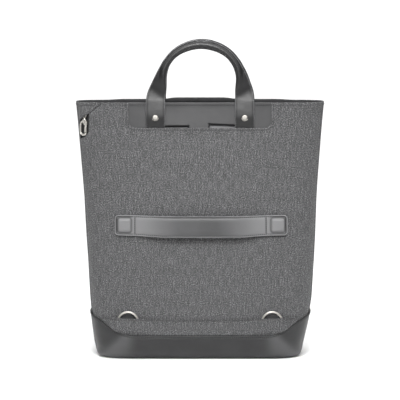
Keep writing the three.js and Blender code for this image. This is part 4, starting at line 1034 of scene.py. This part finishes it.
# Luggage strap: a padded leather strap, sewn flat to the wall at both ends and bowed out between them so
# that it slides over a suitcase's handle. Its edge is turned over a piping cord and stitched all round.
# The paler colour towards the strap's ends is a painted highlight. Its pale edges are partly edge paint,
# partly painted highlight.
luggage_leather = drum_dyed_leather("pull_up_leather_strap", "#3f3f40", "#474748", "#707072", roughness=0.4,
                                    highlight_colour="#717172")
STRAP_DEEP, STRAP_CORNER, STRAP_BOW, STRAP_SEWN, STRAP_SEAM = 32.5, 6, 7, 27, 2.5
STRAP_SEAMS = (-103.2, 104.6)


def sewn_end(x):
    """1 over the strap's ends, which are sewn to the wall."""
    return smooth((np.abs(x - STRAP_X) - STRAP_HALF + STRAP_SEWN + 3) / 4)


def pad_distance(x, z):
    """How far a point lies outside the rounded square of an end pad."""
    across = np.abs(np.abs(x - STRAP_X) - STRAP_HALF + 15.2) - 7.2
    up = np.abs(z - STRAP_Z) - 7.2
    corner = np.hypot(np.clip(across, 0, None), np.clip(up, 0, None))
    return corner + np.clip(np.maximum(across, up), None, 0) - 2.6


def strap_hollow(s, z, edge):
    """Painted shade: along the seams, round the pads and along the stitched groove inside the edge."""
    x = seen_x(s, z)
    seam = sum(ridge(x, at, 0.9) for at in STRAP_SEAMS) * (edge > 3)
    around = ridge(pad_distance(x, z), 1.6, 1.5) * sewn_end(x)
    border = ridge(edge, STRAP_SEAM, 0.7) * (0.4 + 0.6 * sewn_end(x))
    return np.clip(border + 0.8 * seam + 0.7 * around, 0, 1)


# Painted highlight, growing towards the strap's ends.
def strap_pull(s, z, edge):
    return smooth((np.abs(seen_x(s, z) - STRAP_X) - 20) / 90)


def strap_out(s, z, edge):
    """The bow between the sewn ends, the piped edge, the pads, the two cross seams and the filling."""
    x = seen_x(s, z)
    inside_ends = STRAP_HALF - STRAP_SEWN - np.abs(x - STRAP_X)
    bow = STRAP_BOW * smooth(inside_ends / 62)
    piping = 0.75 * (1 - smooth((edge - 1.5) / 0.8)) - 0.9 * ridge(edge, 2.6, 0.8)
    from_pad = pad_distance(x, z)
    pad = 2.0 * (1 - smooth((from_pad + 1.6) / 2.2)) - 0.8 * ridge(from_pad, 1.8, 1.4)
    seams = sum(ridge(x, at, 0.9) for at in STRAP_SEAMS)
    filled = 0.6 * smooth((edge - 3) / 6) * smooth((inside_ends - 4) / 8)
    return 3.1 + bow + piping + pad * sewn_end(x) + filled - 0.8 * seams


x0, x1 = STRAP_X - STRAP_HALF, STRAP_X + STRAP_HALF
z0, z1 = STRAP_Z - STRAP_DEEP / 2, STRAP_Z + STRAP_DEEP / 2
strap_outline = []
for x, z, start in ((x1, z1, 0), (x0, z1, 90), (x0, z0, 180), (x1, z0, 270)):
    centre = (x - STRAP_CORNER * np.sign(x - STRAP_X), z - STRAP_CORNER * np.sign(z - STRAP_Z))
    strap_outline += arc(centre, STRAP_CORNER, start, start + 90, 7)
strap_outline = dense(strap_outline, 6.0)
sag = smooth((STRAP_HALF - 24 - np.abs(strap_outline[:, 0] - STRAP_X)) / 60)
strap_outline[:, 1] -= sag * (2.1 - 0.75 * np.sign(strap_outline[:, 1] - STRAP_Z))
strap_flat = flat_line(strap_outline)
luggage = sewn_piece("luggage_strap_leather", "strap", strap_flat, strap_out, 2.8, luggage_leather,
                     spacing=1.3, rounding=1.1, values={"hollow": strap_hollow, "pull": strap_pull},
                     slot="bag_leather")
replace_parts(luggage, "luggage_strap")
seam_path = dense(strap_flat, 2.0)
seam_path = seam_path + inwards(seam_path) * STRAP_SEAM
strap_lines = [wall_line("strap", np.append(seam_path, seam_path[:1], axis=0),
                         lambda s, z: strap_out(s, z, np.full(len(s), STRAP_SEAM)) + 0.1)]
for at in STRAP_SEAMS:
    strap_lines.append(wall_line("strap", flat_line([(at, z0 + 3.4), (at, z1 - 3.4)]),
                                 lambda s, z: strap_out(s, z, np.full(len(s), WELL_IN)) + 0.15))
stitches("luggage_strap_stitching", strap_lines, slot="bag_leather")


# Snap hook: a zinc casting, nickel plated, that hangs from a loop of webbing in the pocket's slit. Its
# body and gate are flat castings with softened edges, the gate held in the forked head by a pin.
HOOK_LONG, HOOK_HALF, HOOK_THICK, HOOK_BAR, NOSE, PIVOT = 30, 7.25, 4.2, 3.2, 5, 21
GATE_WIDE, GATE_THICK, GATE_X, NECK = 4.6, 1.8, 4.95, 3.0
# The hook lies on the back panel, which turns away there: its turns round X, Y and Z, and its lowest point
HOOK_TURNS = [math.radians(a) for a in (-1.006, -0.673, -41.347)]
hook_origin = np.array((-185.39, -19.52 + MID_Y, 353.0)) / 1000
hook_right, hook_in, hook_up = np.array(Euler(HOOK_TURNS).to_matrix()).T
hook_out = -hook_in


def on_hook(face, s, z, out):
    return hook_origin + (np.multiply.outer(s, hook_right) + np.multiply.outer(z, hook_up)
                          + np.multiply.outer(np.broadcast_to(out, np.shape(s)), hook_out)) / 1000


def bend(a, b, c):
    """A quadratic curve from a to c, pulled towards b, without its first point."""
    return [tuple((1 - t) ** 2 * np.array(a) + 2 * t * (1 - t) * np.array(b) + t * t * np.array(c))
            for t in np.linspace(0, 1, 7)[1:]]


half = HOOK_HALF
outline = [(0, 0), (half - NOSE, 0), *arc((half - NOSE, NOSE), NOSE, -90, 0, 8)[1:], (half - GATE_WIDE, NOSE)]
outline += bend(outline[-1], (half - GATE_WIDE, HOOK_BAR), (0, HOOK_BAR))
outline += bend((0, HOOK_BAR), (-half + HOOK_BAR, HOOK_BAR), (-half + HOOK_BAR, half))
outline += [(-half + HOOK_BAR, PIVOT - HOOK_BAR)]
outline += bend(outline[-1], (-half + HOOK_BAR, PIVOT), (0, PIVOT))
outline += [(half - GATE_WIDE - 0.3, PIVOT - GATE_WIDE), (half, PIVOT - GATE_WIDE), (half, PIVOT + HOOK_BAR)]
outline += bend(outline[-1], (NECK, HOOK_LONG - HOOK_BAR), (NECK, HOOK_LONG + 0.8))
outline += [(-NECK, HOOK_LONG + 0.8)]
outline += bend(outline[-1], (-NECK, HOOK_LONG - HOOK_BAR), (-half, PIVOT - HOOK_BAR))
outline += [(-half, half)]
outline += bend(outline[-1], (-half, 0), (0, 0))[:-1]
hook = sewn_piece("snap_hook_body", "strap", outline, lambda s, z, edge: HOOK_THICK / 2, HOOK_THICK, nickel,
                  spacing=0.9, rounding=1.1, lay=on_hook, slot="nickel")


def cut_out(piece, points, faces):
    """Cuts a closed shape out of a piece."""
    mesh = bpy.data.meshes.new("cutter")
    mesh.from_pydata([tuple(p) for p in points], [], faces)
    cutter = bpy.data.objects.new("cutter", mesh)
    bpy.context.scene.collection.objects.link(cutter)
    cut = piece.modifiers.new("cut", "BOOLEAN")
    cut.operation, cut.object, cut.solver = "DIFFERENCE", cutter, "EXACT"
    with bpy.context.temp_override(object=piece, active_object=piece):
        bpy.ops.object.modifier_apply(modifier=cut.name)
    bpy.data.objects.remove(cutter)
    piece.data.set_sharp_from_angle(angle=math.radians(40))


fork_low, fork_high = PIVOT - GATE_WIDE * 1.25 - HOOK_BAR / 2, PIVOT + 5.2
fork = [on_hook(None, x, z, out) for x in (GATE_X - GATE_WIDE, half + 3) for z in (fork_low, fork_high)
        for out in (-GATE_THICK / 2 - GAP, GATE_THICK / 2 + GAP)]
cut_out(hook, fork, [(0, 1, 3, 2), (4, 6, 7, 5), (0, 4, 5, 1), (2, 3, 7, 6), (0, 2, 6, 4), (1, 5, 7, 3)])
spin, bore_radius = 24, 1.2
bore = [on_hook(None, GATE_X + bore_radius * math.cos(t), PIVOT + bore_radius * math.sin(t), out)
        for out in (-4, 4) for t in np.linspace(0, 2 * math.pi, spin, endpoint=False)]
cut_out(hook, bore, [tuple(range(spin - 1, -1, -1)), tuple(range(spin, 2 * spin)), *joined(2, spin)])
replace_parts(hook, "snap_hook")
eye_line = [*arc((4, HOOK_LONG + 4.5), 1.2, 0, 90, 5), *arc((-4, HOOK_LONG + 4.5), 1.2, 90, 180, 5),
            *arc((-4, HOOK_LONG + 2), 1.2, 180, 270, 5), *arc((4, HOOK_LONG + 2), 1.2, 270, 360, 5)]
eye = bent_wire("snap_hook_eye", [on_hook(None, x, z, 0.0) for x, z in eye_line], 0.8, hook_out, 14)
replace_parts(eye, "snap_hook")

gate_line = [(GATE_X - 2, NOSE + 0.4), (GATE_X + 2, NOSE + 0.4), (GATE_X + 2, PIVOT),
             *arc((GATE_X, PIVOT), 2, 20, 180)]


def gate_thick(s, z):
    return GATE_THICK + (HOOK_THICK - GATE_THICK) * smooth((PIVOT - GATE_WIDE - 0.8 - z) / 0.5)


gate = sewn_piece("snap_hook_gate_bar", "strap", gate_line, lambda s, z, edge: gate_thick(s, z) / 2,
                  gate_thick, nickel, spacing=0.6, rounding=0.8, lay=on_hook, body="gate", slot="nickel")
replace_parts(gate, "snap_hook_gate")
pin_place = on_hook(None, GATE_X, PIVOT, -HOOK_THICK / 2)
PIN = [(0, -0.2), (0.6, -0.1), (0.88, 0.1), (0.88, 4.1), (0.6, 4.32), (0, 4.4)]
pin = turned("snap_hook_pin_rod", PIN, pin_place, hook_out, hook_right, hook_up, nickel, spin=spin)
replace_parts(pin, "snap_hook_pin")
loop_strip = [(-0.5, 9), (-0.75, 6), (-1.15, 2.5), *arc((0, 0), 1.25, 180, 360), (0.95, 2.5), (0.35, 6),
              (0.1, 9)]
loop = webbing_strip("snap_hook_webbing", on_hook(None, 0.0, HOOK_LONG + 5.7, 0.0), hook_right, hook_up,
                     hook_out, loop_strip, 3.6)
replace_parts(loop, "snap_hook_loop")


# Rim and flap seams: the cloth's edges are turned under and topstitched with the same thread, all round the
# mouth, along the slit's upper edge and along the top of the handle patch.
rim_z = HEIGHT - 4.9


def rim_line(face, a, b, out):
    count = max(2, int(abs(b - a) / 3))
    s = np.linspace(a, b, count)
    z = np.full(count, rim_z)
    return wall(face, s, z, out(s, z) + 0.05), outwards(face, s, z)


near_window, near_slit = across_at(WINDOW_HALF + 5.5, rim_z), across_at(SLIT_RIM[0] + 9, rim_z)
near_flap = across_at(SLIT_RIM[0] - 8, rim_z)
rim_seams = [rim_line("strap", near_slit, -near_window, lambda s, z: strap_side_out(s, z, WELL_IN)),
             rim_line("strap", near_window, SEAM - 2, lambda s, z: strap_side_out(s, z, WELL_IN)),
             rim_line("strap", -SEAM + 3, near_flap, lambda s, z: flap_out(s, z, WELL_IN)),
             rim_line("front", -SEAM + 2, SEAM - 2, lambda s, z: front_out(s, z, 5)),
             rim_line("left", 2 - GUSSET, GUSSET - 2, lambda s, z: 0 * s),
             rim_line("right", 2 - GUSSET, GUSSET - 2, lambda s, z: 0 * s)]
flap_seam = flat_line([(SLIT_RIM[0] - 3.5, hem_top - 2.6), (SLIT_TOP[0] - 1.2, SLIT_TOP[1] + 1.9),
                       (SLIT_OUT[0] + 1.6, SLIT_OUT[1] + 6)])
rim_seams.append(wall_line("strap", flap_seam, lambda s, z: flap_out(s, z, WELL_IN) + 0.05))
stitches("rim_stitching", rim_seams)
patch_seams = [wall_line("strap", flat_line([(a, rim_z + 0.4), (b, rim_z + 0.4)]), lambda s, z: -2.05 + 0 * s)
               for a, b in ((-WINDOW_HALF + 2, -88), (-54, 54), (88, WINDOW_HALF - 2))]
stitches("patch_stitching", patch_seams, slot="bag_leather")


# Studio: a wide floor of white paper, a lamp as wide as the sky for even light, a soft lamp above the bag
# and one in front of it, and the camera at the photo's height.
FLOOR_RADIUS = 45
floor_mesh = bpy.data.meshes.new("studio_floor")
floor_mesh.from_pydata([(x, y, 0) for x, y in arc((0, 0), FLOOR_RADIUS, 0, 355, 72)], [], [tuple(range(72))])
floor = bpy.data.objects.new("studio_floor", floor_mesh)
bpy.context.scene.collection.objects.link(floor)
paper, paper_tree, paper_shader = new_material("white_studio_paper", 0.9)
grain = node(paper_tree, "ShaderNodeTexNoise", {"Scale": 40.0, "Detail": 2.0})
shade = node(paper_tree, "ShaderNodeMix", {"Factor": grain.outputs["Fac"], "A": linear("#f4f4f4"),
                                           "B": linear("#fafafa")}, data_type="RGBA")
paper_tree.links.new(shade.outputs["Result"], paper_shader.inputs["Base Color"])
floor.data.materials.append(paper)

world = bpy.data.worlds.new("studio")
bpy.context.scene.world = world
world.use_nodes = True
world.node_tree.nodes["Background"].inputs["Color"].default_value = linear("#ffffff")
world.node_tree.nodes["Background"].inputs["Strength"].default_value = 0.15


def aim_at(place, target):
    return (Vector(target) - Vector(place)).to_track_quat("-Z", "Y").to_euler()


def placed(name, data):
    made = bpy.data.objects.new(name, data)
    bpy.context.scene.collection.objects.link(made)
    return made


sky = bpy.data.lights.new("lamp_sky", "SUN")
sky.energy, sky.angle = 3.6, math.radians(110)
placed("lamp_sky", sky)
for name, place, size, watts in (("lamp_above", (0.0, -1.5, 2.1), (0.5, 0.8), 1.55),
                                 ("lamp_front", (0.0, -2.4, 1.75), (0.5, 0.5), 0.63)):
    lamp = bpy.data.lights.new(name, "AREA")
    lamp.shape, lamp.size, lamp.size_y, lamp.energy = "RECTANGLE", *size, watts
    lamp.spread = math.radians(28)
    holder = placed(name, lamp)
    holder.location, holder.rotation_euler = place, aim_at(place, (0, 0, 0.2))

CAMERA_AWAY, CAMERA_RISE = 6.5, math.radians(7)
SENSOR, SEEN_WIDTH = 36, 0.64
aim = (0, MID_Y / 1000, 0.2474)
camera = placed("camera", bpy.data.cameras.new("camera"))
camera.location = (0, aim[1] - CAMERA_AWAY * math.cos(CAMERA_RISE),
                   aim[2] + CAMERA_AWAY * math.sin(CAMERA_RISE))
camera.rotation_euler = aim_at(camera.location, aim)
camera.data.sensor_width = SENSOR
camera.data.lens = SENSOR * CAMERA_AWAY / SEEN_WIDTH
bpy.context.scene.camera = camera
bpy.context.scene.view_settings.view_transform = "Standard"
